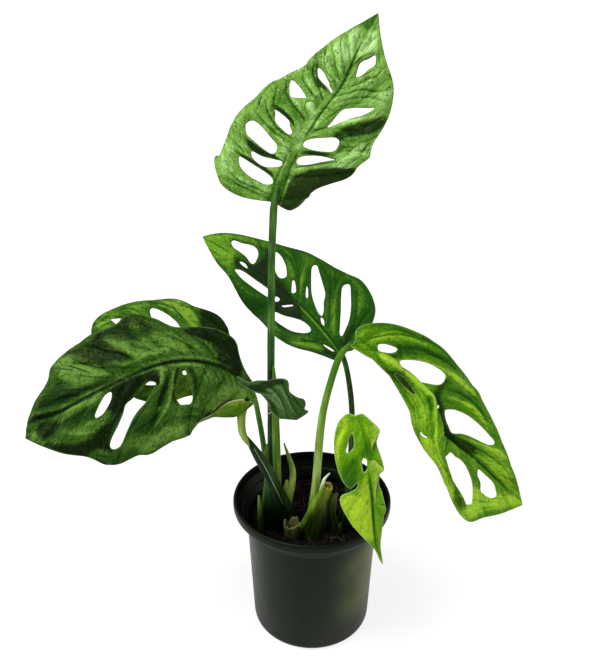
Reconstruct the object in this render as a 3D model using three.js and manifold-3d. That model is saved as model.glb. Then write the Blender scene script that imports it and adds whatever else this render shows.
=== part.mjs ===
// Monstera adansonii with six leaves, grown in a round nursery pot of 12 cm.
// Millimetres, +Z up, the pot's base on z = 0 and centred on the origin; the plant faces -Y.
import * as THREE from "three";
import { mergeVertices } from "three/addons/utils/BufferGeometryUtils.js";
import Module from "manifold-3d";

const wasm = await Module();
wasm.setup();

// ---- driving dimensions, mm ----
const POT_HEIGHT = 112;
const RIM_RADIUS = 60; // over the rolled lip
const WAIST_RADIUS = 49.8; // where the flared band meets the body
const WAIST_Z = 94;
const FOOT_RADIUS = 46;
const POT_WALL = 1.3;
const POT_FLOOR = 2;
const ROUND = 40; // segments round the pot
const DRAIN_COUNT = 6;
const DRAIN_RADIUS = 4;
const DRAIN_CIRCLE = 31;
const SOIL_Z = 92; // mean height of the soil
const SOIL_LUMP = 1.4;
const CLEAR = 0.3; // between any two pieces
const BLADE = 1.0; // thickness of a leaf blade
const MIDRIB = 1.6; // how far the midrib stands out underneath
const MIDRIB_HALF = 2.2;
const CREASE = 7; // width over which a folded half turns
const EDGE_STEP = 4.2;
const HOLE_STEP = 3.6;
const MESH_STEP = 7.5;

const rad = THREE.MathUtils.degToRad;
const xyz = (p) => new THREE.Vector3(p[0], p[1], p[2]);

// ---- solids and meshes ----

// A closed solid from a three.js geometry.
function solid(geometry) {
  const bare = new THREE.BufferGeometry();
  bare.setAttribute("position", geometry.getAttribute("position"));
  if (geometry.index) bare.setIndex(geometry.index);
  const merged = mergeVertices(bare, 1e-4);
  return new wasm.Manifold(
    new wasm.Mesh({
      numProp: 3,
      vertProperties: merged.attributes.position.array,
      triVerts: new Uint32Array(merged.index.array),
    }),
  );
}

// A named mesh from a solid, in one plain colour.
function piece(name, made, color, roughness) {
  const m = made.getMesh();
  const xyzs = new Float32Array(m.numVert * 3);
  for (let i = 0; i < m.numVert; i++) {
    xyzs.set(m.vertProperties.subarray(i * m.numProp, i * m.numProp + 3), i * 3);
  }
  const geometry = new THREE.BufferGeometry();
  geometry.setAttribute("position", new THREE.BufferAttribute(xyzs, 3));
  geometry.setIndex(new THREE.BufferAttribute(new Uint32Array(m.triVerts), 1));
  const flat = geometry.toNonIndexed();
  flat.computeVertexNormals();
  const mesh = new THREE.Mesh(flat, new THREE.MeshStandardMaterial({ color, roughness }));
  mesh.name = name;
  return mesh;
}

// A solid from points and triangles.
function solidOf(points, triangles) {
  const geometry = new THREE.BufferGeometry().setFromPoints(points);
  geometry.setIndex(triangles.flat());
  return solid(geometry);
}

// The largest body of a solid, without the slivers that a cut can leave.
const largest = (made) => made.decompose().sort((a, b) => b.volume() - a.volume())[0];

// ---- pot and soil ----

// A body turned round Z from [radius, z] pairs that start and end on the axis.
function turned(profile, segments) {
  const points = profile.map(([r, z]) => new THREE.Vector2(r, z));
  return new THREE.LatheGeometry(points, segments).rotateX(Math.PI / 2);
}

// Inside radius of the pot's body at height z.
function boreRadius(z) {
  const share = z / WAIST_Z;
  return FOOT_RADIUS - POT_WALL + share * (WAIST_RADIUS - FOOT_RADIUS);
}

function potSolid() {
  const lipInner = RIM_RADIUS - 2.6;
  const shell = turned(
    [
      [0, 0],
      [FOOT_RADIUS - 3, 0],
      [FOOT_RADIUS - 0.6, 1.6],
      [FOOT_RADIUS, 4],
      [WAIST_RADIUS, WAIST_Z],
      [WAIST_RADIUS + 3.6, WAIST_Z + 4.6],
      [RIM_RADIUS - 2, POT_HEIGHT - 7.6],
      [RIM_RADIUS - 0.4, POT_HEIGHT - 7.2],
      [RIM_RADIUS, POT_HEIGHT - 5.5],
      [RIM_RADIUS, POT_HEIGHT - 2],
      [RIM_RADIUS - 0.6, POT_HEIGHT - 0.5],
      [RIM_RADIUS - 1.5, POT_HEIGHT],
      [lipInner, POT_HEIGHT - 0.6],
      [lipInner - 0.6, POT_HEIGHT - 6],
      [WAIST_RADIUS + 3, WAIST_Z + 5.4],
      [boreRadius(WAIST_Z), WAIST_Z + 0.6],
      [boreRadius(POT_FLOOR), POT_FLOOR],
      [0, POT_FLOOR],
    ],
    ROUND,
  );
  let pot = solid(shell);
  for (let i = 0; i < DRAIN_COUNT; i++) {
    const at = (i / DRAIN_COUNT) * 2 * Math.PI;
    const hole = new THREE.CylinderGeometry(DRAIN_RADIUS, DRAIN_RADIUS, 3 * POT_FLOOR, 14);
    hole.rotateX(Math.PI / 2);
    hole.translate(DRAIN_CIRCLE * Math.cos(at), DRAIN_CIRCLE * Math.sin(at), POT_FLOOR / 2);
    pot = pot.subtract(solid(hole));
  }
  return pot;
}

// The soil fills the body, with a lumpy top.
function soilSolid() {
  const profile = [
    [0, POT_FLOOR + CLEAR],
    [boreRadius(POT_FLOOR) - CLEAR, POT_FLOOR + CLEAR],
    [boreRadius(SOIL_Z - 4) - CLEAR, SOIL_Z - 4],
    [boreRadius(SOIL_Z - 1) - CLEAR - 0.6, SOIL_Z - 1],
  ];
  for (let ring = 7; ring > 0; ring--) profile.push([ring * 6.4, SOIL_Z]);
  profile.push([0, SOIL_Z]);
  const body = turned(profile, ROUND);
  const at = body.attributes.position;
  for (let i = 0; i < at.count; i++) {
    const x = at.getX(i);
    const y = at.getY(i);
    if (at.getZ(i) < SOIL_Z - 0.5) continue;
    const lump = Math.sin(x * 0.31 + 1) * Math.cos(y * 0.27) + 0.6 * Math.sin(x * 0.71 - y * 0.53);
    at.setZ(i, SOIL_Z + SOIL_LUMP * lump);
  }
  return solid(body);
}

// ---- stems ----

// A stem through stations [x, y, z, half width, half depth]; it is widest across the front view.
// fatter adds to both half sizes, for cutting a neighbour clear.
function stem(stations, fatter = 0, sides = 8) {
  const path = new THREE.CatmullRomCurve3(stations.map(xyz), false, "catmullrom", 0.5);
  const spans = stations.length - 1;
  const rings = spans * 3 + 1;
  const points = [];
  const triangles = [];
  for (let i = 0; i < rings; i++) {
    const t = i / (rings - 1);
    const from = Math.min(Math.floor(t * spans), spans - 1);
    const share = t * spans - from;
    const size = (k) => THREE.MathUtils.lerp(stations[from][k], stations[from + 1][k], share) + fatter;
    const centre = path.getPoint(t);
    const along = path.getTangent(t);
    if (i === 0) centre.addScaledVector(along, -fatter);
    if (i === rings - 1) centre.addScaledVector(along, fatter);
    const across = along.clone().cross(new THREE.Vector3(0, 1, 0)).normalize();
    const deep = across.clone().cross(along).normalize();
    for (let k = 0; k < sides; k++) {
      const turn = (k / sides) * 2 * Math.PI;
      const p = centre.clone().addScaledVector(across, size(3) * Math.cos(turn));
      points.push(p.addScaledVector(deep, size(4) * Math.sin(turn)));
    }
  }
  for (let i = 0; i < rings - 1; i++) {
    for (let k = 0; k < sides; k++) {
      const a = i * sides + k;
      const b = i * sides + ((k + 1) % sides);
      triangles.push([a, b + sides, b], [a, a + sides, b + sides]);
    }
  }
  const last = (rings - 1) * sides;
  for (let k = 1; k < sides - 1; k++) {
    triangles.push([0, k, k + 1], [last, last + k + 1, last + k]);
  }
  return solidOf(points, triangles);
}

const joined = (list, fatter) =>
  list.map((stations) => stem(stations, fatter)).reduce((a, b) => a.add(b));

// Stem bases at the soil: [x, y, z, half width, half depth] from the root end up.
const CROWNS = {
  // the main stem wrapped in its sheath, the winged sheath of the left leaf, a young shoot
  crown_left: [
    [
      [-31, -14, 74, 8, 6],
      [-31, -14, 92, 10.5, 7],
      [-30, -14, 117, 9, 5.5],
      [-29, -13, 143, 7, 4.5],
      [-28, -12, 168, 5, 3.8],
      [-28.6, -11, 201, 3.9, 3.2],
      [-29, -10, 224, 3.1, 2.7],
    ],
    [
      [-21, -14, 78, 4.5, 4],
      [-19, -16, 100, 5, 4.2],
      [-24, -24, 136, 5.4, 3.4],
      [-33, -28, 158, 5, 2.8],
      [-41, -28, 172, 3.6, 2.6],
    ],
    [
      [-35, -20, 78, 3.6, 3],
      [-38, -22, 104, 3, 2],
      [-39, -22, 126, 0.7, 0.7],
    ],
    [
      [-22, -8, 84, 3, 3],
      [-16, -5, 110, 2.7, 2.4],
      [-12, -6, 130, 2.6, 2],
      [-13, -6, 142, 2.4, 1.6],
      [-21, -6, 162, 0.6, 0.6],
    ],
  ],
  // a cut stump and a thick open stub with the next leaf's tip in it
  crown_middle: [
    [
      [-11, -24, 76, 5, 5],
      [-13, -27, 94, 6, 5.4],
      [-14, -27, 109, 6, 4.6],
    ],
    [
      [-6, -22, 76, 8, 6],
      [-5, -22, 96, 8, 6],
      [0, -22, 110, 6, 5],
      [7, -22, 124, 5.4, 4.6],
      [13, -22, 136, 5.2, 4.4],
    ],
    [
      [6, -21, 124, 2, 1.6],
      [10, -21, 139, 2, 1.2],
      [15, -21, 148, 0.6, 0.6],
    ],
    [
      [-4, -14, 78, 4.6, 4],
      [-1, -14, 110, 3.6, 3.4],
    ],
  ],
  // two spread sheaths round the two petioles on the right
  crown_right: [
    [
      [18, -18, 76, 5, 5],
      [13, -20, 95, 4.4, 3.6],
      [13, -20, 111, 4, 3],
      [15, -20, 128, 2.4, 1.6],
    ],
    [
      [20, -18, 76, 5, 5],
      [25, -22, 101, 4.2, 3.6],
      [27, -22, 119, 3.6, 3],
      [30, -22, 133, 2.2, 1.6],
    ],
    [
      [21, -18, 78, 6, 5],
      [21, -19, 98, 5, 4],
    ],
  ],
};

// Leaf stalks, from the crown to the blade.
const PETIOLES = {
  petiole_top: [
    [-29, -10, 220, 2.8, 2.4],
    [-28.4, -9, 254, 2.7, 2.3],
    [-27.4, -6, 302, 2.4, 2.2],
    [-26, -4, 335, 2.5, 2.2],
    [-25.6, -4.1, 341, 1.9, 1.6],
  ],
  petiole_upper: [
    [22, -17, 92, 2.2, 2.2],
    [26, -15, 126, 2.2, 2.2],
    [28, -12, 161, 2.1, 2.1],
    [28, -7, 190, 2.1, 2.1],
    [25.6, 1, 210, 2, 2],
    [22, 7, 224, 1.9, 1.9],
    [17.5, 8.6, 232, 1.4, 1.4],
  ],
  petiole_right: [
    [-2, -14, 104, 3.4, 3.2],
    [3, -14, 144, 3.6, 3.3],
    [5, -14, 168, 3.5, 3.1],
    [7.6, -13, 192, 3.1, 2.8],
    [12.2, -12, 214, 2.8, 2.5],
    [18.4, -10.5, 235, 2.6, 2.4],
    [27, -8.2, 244.4, 1.8, 1.6],
  ],
  petiole_left: [
    [-40, -28, 170, 3.4, 2.5],
    [-47, -28, 180, 3.4, 2.6],
    [-50, -27, 191, 3.3, 2.6],
    [-49, -26, 205, 2.9, 2.5],
    [-43, -24.4, 216.4, 1.9, 1.8],
  ],
  petiole_front: [
    [23, -21, 94, 2.2, 2.2],
    [25, -26, 133, 1.9, 1.9],
    [26, -33, 173, 1.8, 1.8],
    [27, -40, 198, 1.8, 1.8],
    [28.6, -44.6, 208.6, 1.6, 1.6],
    [31, -47, 209.4, 1.4, 1.4],
  ],
  petiole_back: [
    [-33, -11, 138, 2.2, 2.1],
    [-36, -4, 161, 2, 2],
    [-39.6, 4, 179, 2, 2],
    [-43, 10, 192, 1.8, 1.8],
    [-47, 12.2, 198.6, 1.4, 1.4],
  ],
};

// ---- leaf blades ----
// midrib: points from the stalk to the tip. up: the way the upper face looks.
// right, left: folds of each half at [distance along the midrib, angle at the midrib,
//   bend per 40 mm outwards, distance of a crease, turn at the crease], angles in degrees, + is up.
// rimR, rimL: the outline of each half, [along, out]. Right is the right hand of one who
//   looks at the upper face with the tip up; out is negative on the left.
// holes: [along, out, length, width, turn, egg, bow]; egg above 0 is wider towards the start,
//   bow bends the hole's middle sideways.
const BLADES = {
  blade_top: {
    midrib: [
      [-26, -4, 340], [-19, -7, 361], [-10, -8, 379], [2, -7, 397], [15, -3, 410], [25, 3, 430],
      [37, 12, 451],
    ],
    up: [[-0.15, -1, 0.2]],
    right: [
      [-10, -4, -10, 8, -60], [8, -4, -10, 14, -50], [16, -4, -10, 22, -25], [30, -6, -8, 40, 0],
      [132, 8, 0, 40, 0],
    ],
    left: [[-10, 8, -16, 40, 0], [60, 4, -12, 40, 0], [132, 0, 0, 40, 0]],
    rimR: [
      [0, 2], [-1, 8], [-1, 13], [1, 18], [8, 20.5], [15, 21], [21, 24], [27, 29], [35, 35.5],
      [42, 38.5], [51, 39], [61, 41], [70, 40.5], [76, 36.5], [83, 34], [90, 31], [96, 28], [104, 22],
      [111, 15.5], [121, 7.5], [132, 0],
    ],
    rimL: [
      [0, -2], [-2, -10], [-4, -22], [-2.5, -33], [2, -39], [12, -45.5], [15, -42.6], [22, -42.2],
      [33, -41.8], [41, -39.6], [49, -36.4], [60, -33.6], [66, -29], [73, -25.4], [82, -24.8],
      [90, -24.4], [98, -21], [112, -12.5], [124, -5], [132, 0],
    ],
    holes: [
      [14, -16, 28, 7, -78, -0.1], [23, -12.8, 20, 6.4, -98, 0.1], [33.6, -21.4, 26, 9.5, -74, -0.15],
      [46.8, -14, 16.4, 6.6, -68, -0.1], [64.4, -17.8, 12.5, 5.6, -88, 0.1],
      [81.2, -10, 17, 4.2, -60, -0.1, 0.7], [37.8, 14.4, 23.5, 6.2, 54, 0],
      [49.4, 12.8, 21, 9.8, 48, 0], [73.8, 15.4, 25, 5.6, 32, -0.3, -1.2],
      [101, 8.3, 16.4, 6.6, 25, -0.1],
    ],
  },
  blade_upper: {
    midrib: [[20, 6, 229], [8, 10, 244], [-9, 16, 261], [-30, 21, 278], [-53, 26, 293], [-76, 30, 306]],
    up: [[0, -1, 0.55]],
    right: [[0, 6, -10, 40, 0], [90, 8, -10, 40, 0], [127, 6, 0, 40, 0]],
    left: [[0, -36, -10, 40, 0], [60, -32, -10, 40, 0], [127, 0, 0, 40, 0]],
    rimR: [
      [0, 2], [-3, 8], [-2, 18], [3, 28], [10, 37.4], [19, 42.6], [29, 43.4], [37, 39.4], [45, 36],
      [55, 33.6], [65, 31], [78, 25], [88, 21.2], [98, 17.6], [106, 14.6], [116, 10], [123, 5],
      [128, 0],
    ],
    rimL: [
      [0, -2], [-2.6, -7], [4, -13.4], [12, -20.6], [21, -26.8], [32, -32], [42, -34.4], [56, -33.2],
      [70, -29.2], [81, -24.8], [90, -19.6], [99, -14.6], [110, -11], [120, -5.4], [128, 0],
    ],
    holes: [
      [97.6, 7.2, 21.5, 9, -1, 0.3], [73, 12, 18, 7.4, 44, -0.1], [42.6, 16.4, 36, 7.2, 41, -0.1],
      [81, -9.2, 33, 5.8, 1, 0.1], [57, 6.3, 8.6, 3, 49, 0], [47.6, 10, 8.6, 3, 42, 0],
      [21.4, 20.4, 37, 7, 50, -0.3], [39.6, -15.4, 31, 12, -25, -0.05], [8.6, -6.2, 10, 2.6, -22, 0],
      [93.4, -2.6, 7.4, 2.4, 10, 0], [25.4, 3.8, 6.4, 2.6, 28, 0],
    ],
  },
  blade_right: {
    midrib: [
      [28, -8, 244], [49, -14, 231], [70, -19, 208], [88, -23, 185], [114, -27, 163],
      [150, -32, 129],
    ],
    up: [[0.3, -0.75, 0.8]],
    right: [
      [0, 30, 0, 8, -40], [15, 80, 0, 11, -110], [30, 96, 0, 14, -140], [60, 98, 0, 18, -150],
      [85, 52, 0, 23, -125], [110, 16, 0, 29, -105], [130, 6, 0, 36, -80], [150, 0, 0, 40, 0],
    ],
    left: [[0, 14, -14, 40, 0], [120, 14, -14, 40, 0], [171, 16, 0, 40, 0]],
    rimR: [
      [0, 2], [-1, 5], [6, 10], [16, 16.6], [30, 24.6], [50, 33], [62, 38.2], [70, 39.8], [82, 39],
      [96, 38.4], [112, 38.4], [127, 39], [136, 39.6], [141, 37.4], [148, 29], [158, 18], [165, 8.6],
      [171, 0],
    ],
    rimL: [
      [0, -2], [-3.6, -8], [-1, -15], [8, -22.6], [24, -32], [35, -37], [46, -39.6], [58, -40.4],
      [76, -43.4], [88, -43.4], [97, -41.8], [104, -37.4], [113, -32.4], [128, -25], [148, -14.2],
      [160, -7.4], [171, 0],
    ],
    holes: [
      [20.2, -9.8, 14.5, 5.6, -34, 0], [49, -16.8, 34, 13.6, -33, -0.25],
      [102, -14.2, 46, 14.6, -7, 0.05], [113.6, 20, 38, 18, 17, -0.05],
      [138.4, 9, 24, 10.4, 20, -0.15], [42, 23, 20, 5, 10, 0], [70.6, -6.8, 4.6, 3.4, -40, 0],
    ],
  },
  blade_left: {
    midrib: [
      [-42, -24, 217], [-59, -26, 232], [-81, -28, 239], [-107, -32, 237],
      [-133, -38, 228], [-159, -46, 217], [-188, -56, 196],
    ],
    up: [[0, -0.6, 0.9]],
    right: [
      [0, 10, -20, 10, 40], [40, 10, -20, 18, 35], [60, 14, -24, 26, 0], [110, 14, -22, 40, 0],
      [167, 6, -6, 40, 0],
    ],
    left: [
      [-14, -40, 0, 13, 150], [-6, -40, 0, 22, 165], [0, -40, 0, 27, 165], [6, -36, -2, 33, 160],
      [10, -34, -3, 39, 100], [17, -30, -6, 46, 0], [38, -16, -16, 62, 0], [90, -10, -30, 60, 0],
      [130, -6, -20, 60, 0], [167, 0, -10, 60, 0],
    ],
    rimR: [
      [0, 2], [4, 5], [12, 8], [19, 15], [24, 22], [34, 25], [46, 25], [56, 26], [66, 35], [79, 45],
      [86, 41], [101, 42], [118, 35], [130, 30], [136, 22], [151, 15], [161, 7.6], [167.6, 0],
    ],
    rimL: [
      [0, -2], [-6, -6], [-11, -12], [-14, -20], [-12, -28], [-5, -34], [2, -38], [10, -41.6],
      [20, -44], [33, -45.8], [46, -48.4], [60, -51], [80, -54], [92, -55], [98, -54], [104, -51.2],
      [118, -51.6], [127, -49.4], [133, -46], [140, -37], [151, -26.6], [160, -13.4], [166, -3],
      [167.6, 0],
    ],
    holes: [
      [94.8, -25.4, 57, 8.6, -35, -0.05], [50, -17.4, 24, 11.6, -80, -0.35],
      [110, -12.8, 21, 6, -38, 0.05],
    ],
  },
  blade_front: {
    midrib: [
      [30, -46, 210], [36, -54, 196], [39, -60, 177], [40, -63, 155], [43, -64, 131],
      [49, -64, 103],
    ],
    up: [[-0.1, -1, 0.2]],
    right: [[0, 10, -10, 40, 0], [60, 6, -6, 40, 0], [113, 10, 0, 40, 0]],
    left: [
      [0, 30, 0, 6, -80], [10, 30, 0, 9, -110], [22, 60, 0, 6, -150], [36, 40, 0, 8, -120],
      [46, 65, 0, 5, -150],
      [60, 35, 0, 8, -110], [75, 40, 0, 6, -100], [95, 20, 0, 6, -60], [113, 10, 0, 14, 0],
    ],
    rimR: [
      [0, 2], [-3, 7], [1, 15], [10, 21], [24, 23], [36, 22], [46, 19], [51, 14], [47, 9.5], [50.5, 10],
      [54, 15], [56, 20], [62, 21], [77, 15], [90, 8], [103, 4], [113, 0],
    ],
    rimL: [
      [0, -2], [-1, -4], [5, -9], [12, -15], [22, -17], [34, -22], [46, -17],
      [58, -20], [70, -14], [84, -7], [98, -2.4], [113, 0],
    ],
    holes: [[17, 11, 15, 5, 21, 0], [34, 4.4, 9, 3.6, 5, 0]],
  },
  blade_back: {
    midrib: [
      [-46, 12, 198], [-68, 14, 222], [-94, 18, 232], [-122, 24, 232], [-148, 28, 224],
      [-168, 32, 212],
    ],
    up: [[0, -0.75, 0.8]],
    right: [[0, 6, -14, 40, 0], [80, 10, -20, 40, 0], [141, 4, 0, 40, 0]],
    left: [[0, 4, -14, 40, 0], [141, 4, 0, 40, 0]],
    rimR: [
      [0, 2], [-1, 4], [8, 5], [20, 9], [33, 16.4], [38, 22], [46, 27], [61, 27.6], [68, 30],
      [76, 31.6], [88, 29.6], [112, 27.6], [124, 26], [131, 22], [137, 10], [141, 0],
    ],
    rimL: [
      [0, -2], [-4, -10], [4, -20], [20, -28], [37, -36], [55, -46], [74, -49],
      [94, -46], [112, -36], [126, -22], [136, -10], [141, 0],
    ],
    holes: [
      [77, 14, 31, 8.6, 31, 0], [111, 16.6, 12.4, 4.8, 25, -0.2], [79, -30, 26, 13, 5, 0],
      [50, -17, 13, 7, -70, 0],
    ],
  },
};

// The torn, twisted lobe at the foot of the left blade.
const LOBE = {
  midrib: [
    [-53, -24.6, 226], [-44, -25.4, 219.6], [-34, -27, 216.6], [-24, -29, 213], [-14, -31, 205],
    [-4, -32, 194],
  ],
  up: [[0.1, -1, 0.5]],
  right: [[0, 0, -10, 40, 0], [55, 0, -20, 40, 0]],
  left: [[0, 0, -10, 40, 0], [55, 0, -20, 40, 0]],
  rimR: [
    [0, 1.6], [10, 1.6], [18, 2.4], [22, 2.6], [28, 6], [32, 9.4], [36, 10.4], [42, 11], [47, 8],
    [53, 3.4], [54, 1],
  ],
  rimL: [
    [0, -1.6], [10, -2.4], [16, -5.4], [23, -8], [29, -12], [32, -13.4], [34, -12], [37, -8],
    [43, -8.4],
    [47, -10.4], [50, -9], [52, -6], [55, -7], [55, -3.4], [54, 1],
  ],
  holes: [],
};

// Value k of the fold stations at a distance along the midrib.
function foldAt(stations, along, k) {
  let i = 1;
  while (i < stations.length - 1 && stations[i][0] < along) i++;
  const [a, b] = [stations[i - 1], stations[i]];
  const share = THREE.MathUtils.clamp((along - a[0]) / (b[0] - a[0]), 0, 1);
  return THREE.MathUtils.lerp(a[k], b[k], share);
}

// How far out and up a point of one half lies, at a distance from the midrib measured on the leaf.
function section(stations, along, distance) {
  const [fold, bend, crease, turn] = [1, 2, 3, 4].map((k) => foldAt(stations, along, k));
  const steps = 24;
  let out = 0;
  let rise = 0;
  for (let i = 0; i < steps; i++) {
    const at = ((i + 0.5) / steps) * distance;
    const turned = turn * THREE.MathUtils.smoothstep(at, crease - CREASE / 2, crease + CREASE / 2);
    const angle = rad(fold + (bend * at) / 40 + turned);
    out += (Math.cos(angle) * distance) / steps;
    rise += (Math.sin(angle) * distance) / steps;
  }
  return [out, rise];
}

// The leaf's middle surface: (along, out) on the flat leaf to a point in space.
function surfaceOf(leaf) {
  const curve = new THREE.CatmullRomCurve3(leaf.midrib.map(xyz), false, "catmullrom", 0.5);
  curve.arcLengthDivisions = 600;
  const length = curve.getLength();
  const up = xyz(leaf.up[0]).normalize();
  return (along, out) => {
    const inside = THREE.MathUtils.clamp(along, 0, length);
    const tangent = curve.getTangentAt(inside / length);
    const normal = up.clone().addScaledVector(tangent, -up.dot(tangent)).normalize();
    const side = tangent.clone().cross(normal);
    const [x, z] = section(out < 0 ? leaf.left : leaf.right, along, Math.abs(out));
    return curve
      .getPointAt(inside / length)
      .addScaledVector(tangent, along - inside)
      .addScaledVector(side, Math.sign(out) * x)
      .addScaledVector(normal, z);
  };
}

// Evenly spaced points on the outline, from the foot round the right half, the tip and the left half.
function outline(leaf, step) {
  const half = (rim) => {
    const curve = new THREE.SplineCurve(rim.map(([x, y]) => new THREE.Vector2(x, y)));
    return curve.getSpacedPoints(Math.round(curve.getLength() / step));
  };
  return [...half(leaf.rimR), ...half(leaf.rimL).reverse().slice(1)];
}

// The edge of an egg-shaped hole.
function holeEdge([x, y, length, width, turn, egg, bow = 0], step) {
  const round = Math.PI * (0.75 * (length + width) - 0.5 * Math.sqrt(length * width));
  const count = Math.max(7, Math.round(round / step));
  const points = [];
  for (let i = 0; i < count; i++) {
    const at = (i / count) * 2 * Math.PI;
    const u = (length / 2) * Math.cos(at);
    const v = (width / 2) * Math.sin(at) * (1 - egg * Math.cos(at)) + bow * Math.sin(at) ** 2;
    points.push(new THREE.Vector2(u, v).rotateAround(new THREE.Vector2(), rad(turn)));
  }
  return points.map((p) => p.add(new THREE.Vector2(x, y)));
}

function inside(polygon, p) {
  let odd = false;
  polygon.forEach((a, i) => {
    const b = polygon[(i + 1) % polygon.length];
    if (a.y > p.y !== b.y > p.y && p.x < ((b.x - a.x) * (p.y - a.y)) / (b.y - a.y) + a.x) odd = !odd;
  });
  return odd;
}

// Adds one point to a Delaunay triangulation.
function insert(points, triangles, p) {
  const index = points.push(p) - 1;
  const edges = new Map();
  const kept = triangles.filter((t) => {
    if (t.centre.distanceToSquared(p) > t.reach) return true;
    t.corners.forEach((a, i) => {
      const b = t.corners[(i + 1) % 3];
      const back = b + "," + a;
      if (edges.has(back)) edges.delete(back);
      else edges.set(a + "," + b, [a, b]);
    });
    return false;
  });
  for (const [a, b] of edges.values()) kept.push(triangle(points, [a, b, index]));
  return kept;
}

// A triangle with its circumscribed circle.
function triangle(points, corners) {
  const [a, b, c] = corners.map((i) => points[i]);
  const [bx, by, cx, cy] = [b.x - a.x, b.y - a.y, c.x - a.x, c.y - a.y];
  const d = 2 * (bx * cy - by * cx);
  const ux = (cy * (bx * bx + by * by) - by * (cx * cx + cy * cy)) / d;
  const uy = (bx * (cx * cx + cy * cy) - cx * (bx * bx + by * by)) / d;
  const centre = new THREE.Vector2(a.x + ux, a.y + uy);
  return { corners, centre, reach: ux * ux + uy * uy };
}

// Triangles of the flat leaf: its outline and holes as edges, a lattice inside, rows along the midrib.
function flatMesh(leaf, length) {
  const loops = [outline(leaf, EDGE_STEP), ...leaf.holes.map((h) => holeEdge(h, HOLE_STEP))];
  const onBlade = (p) => inside(loops[0], p) && !loops.slice(1).some((loop) => inside(loop, p));
  const clearOf = (p, room) => loops.every((loop) => loop.every((q) => q.distanceTo(p) > room));
  const big = 4000;
  const points = [new THREE.Vector2(-big, -big), new THREE.Vector2(big, -big), new THREE.Vector2(0, big)];
  let triangles = [triangle(points, [0, 1, 2])];
  const rings = loops.map((loop) =>
    loop.map((p) => {
      triangles = insert(points, triangles, p);
      return points.length - 1;
    }),
  );
  const candidates = [];
  for (let x = 4; x < length - 4; x += MESH_STEP * 0.8) {
    for (const y of [0, MIDRIB_HALF, -MIDRIB_HALF]) candidates.push([new THREE.Vector2(x, y), 1.6]);
  }
  for (let row = -9; row <= 9; row++) {
    if (Math.abs(row) < 1) continue;
    const y = Math.sign(row) * (MIDRIB_HALF + (Math.abs(row) - 0.25) * MESH_STEP * 0.87);
    for (let x = -10 + (row & 1) * MESH_STEP * 0.5; x < length; x += MESH_STEP) {
      candidates.push([new THREE.Vector2(x + 0.02 * Math.sin(x * 7 + y), y), MESH_STEP * 0.42]);
    }
  }
  for (const [stations, side] of [[leaf.right, 1], [leaf.left, -1]]) {
    for (let x = stations[0][0]; x < length; x += MESH_STEP * 0.6) {
      if (Math.abs(foldAt(stations, x, 4)) < 15) continue;
      for (const shift of [-CREASE / 2, 0, CREASE / 2]) {
        candidates.unshift([new THREE.Vector2(x, side * (foldAt(stations, x, 3) + shift)), 1.4]);
      }
    }
  }
  const near = (p) => points.some((q, i) => i > 2 && q.distanceTo(p) < 2.2);
  for (const [p, room] of candidates) {
    if (near(p)) continue;
    if (onBlade(p) && clearOf(p, room)) triangles = insert(points, triangles, p);
  }
  // an edge of the outline or of a hole that is missing gets its middle added
  for (let round = 0; round < 6; round++) {
    const present = new Set(
      triangles.flatMap((t) => t.corners.map((a, i) => [a, t.corners[(i + 1) % 3]].sort().join())),
    );
    let added = 0;
    for (const ring of rings) {
      for (let i = ring.length - 1; i >= 0; i--) {
        const [a, b] = [ring[i], ring[(i + 1) % ring.length]];
        if (present.has([a, b].sort().join())) continue;
        triangles = insert(points, triangles, points[a].clone().lerp(points[b], 0.5));
        ring.splice(i + 1, 0, points.length - 1);
        added++;
      }
    }
    if (!added) break;
  }
  const centroid = (t) => t.reduce((sum, i) => sum.add(points[i]), new THREE.Vector2()).divideScalar(3);
  const faces = triangles.map((t) => t.corners).filter((t) => Math.min(...t) > 2 && onBlade(centroid(t)));
  return { points, faces };
}

// A blade: the flat mesh set on the leaf's surface, with the same triangles above and below.
function blade(leaf, ribbed = true) {
  const surface = surfaceOf(leaf);
  const length = leaf.rimR.at(-1)[0];
  const { points, faces } = flatMesh(leaf, length);
  const above = [];
  const below = [];
  points.forEach((p) => {
    const step = 0.4;
    const y = Math.abs(p.y) < step ? Math.sign(p.y || 1) * step : p.y;
    const at = surface(p.x, p.y);
    const dx = surface(p.x + step, p.y).sub(surface(p.x - step, p.y));
    const dy = surface(p.x, y + step * 0.9).sub(surface(p.x, y - step * 0.9));
    const normal = dy.cross(dx).normalize();
    const share = Math.max(0, 1 - (p.y / MIDRIB_HALF) ** 2) * Math.max(0, 1 - p.x / length);
    const rib = ribbed && p.x > 0 ? MIDRIB * share : 0;
    above.push(at.clone().addScaledVector(normal, BLADE / 2));
    below.push(at.clone().addScaledVector(normal, -BLADE / 2 - rib));
  });
  const count = points.length;
  const triangles = [];
  const open = new Map();
  for (const [a, b, c] of faces) {
    const area = points[b].clone().sub(points[a]).cross(points[c].clone().sub(points[a]));
    const t = area < 0 ? [a, b, c] : [a, c, b];
    triangles.push(t, [t[0] + count, t[2] + count, t[1] + count]);
    t.forEach((from, i) => {
      const to = t[(i + 1) % 3];
      if (open.has(to + "," + from)) open.delete(to + "," + from);
      else open.set(from + "," + to, [from, to]);
    });
  }
  for (const [a, b] of open.values()) triangles.push([b, a, a + count], [b, a + count, b + count]);
  const used = [...new Set(triangles.flat())];
  const renumber = new Map(used.map((old, i) => [old, i]));
  const all = [...above, ...below];
  return solidOf(
    used.map((i) => all[i]),
    triangles.map((t) => t.map((i) => renumber.get(i))),
  );
}

// ---- the plant ----
const GREEN = {
  top: 0x5f9440,
  upper: 0x33602a,
  right: 0x6f9f28,
  left: 0x2f5a24,
  front: 0x77a824,
  back: 0x5f8c26,
};
const plant = new THREE.Group();
plant.name = "monstera_adansonii";
plant.add(piece("pot", potSolid(), 0x262b26, 0.5));

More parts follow.
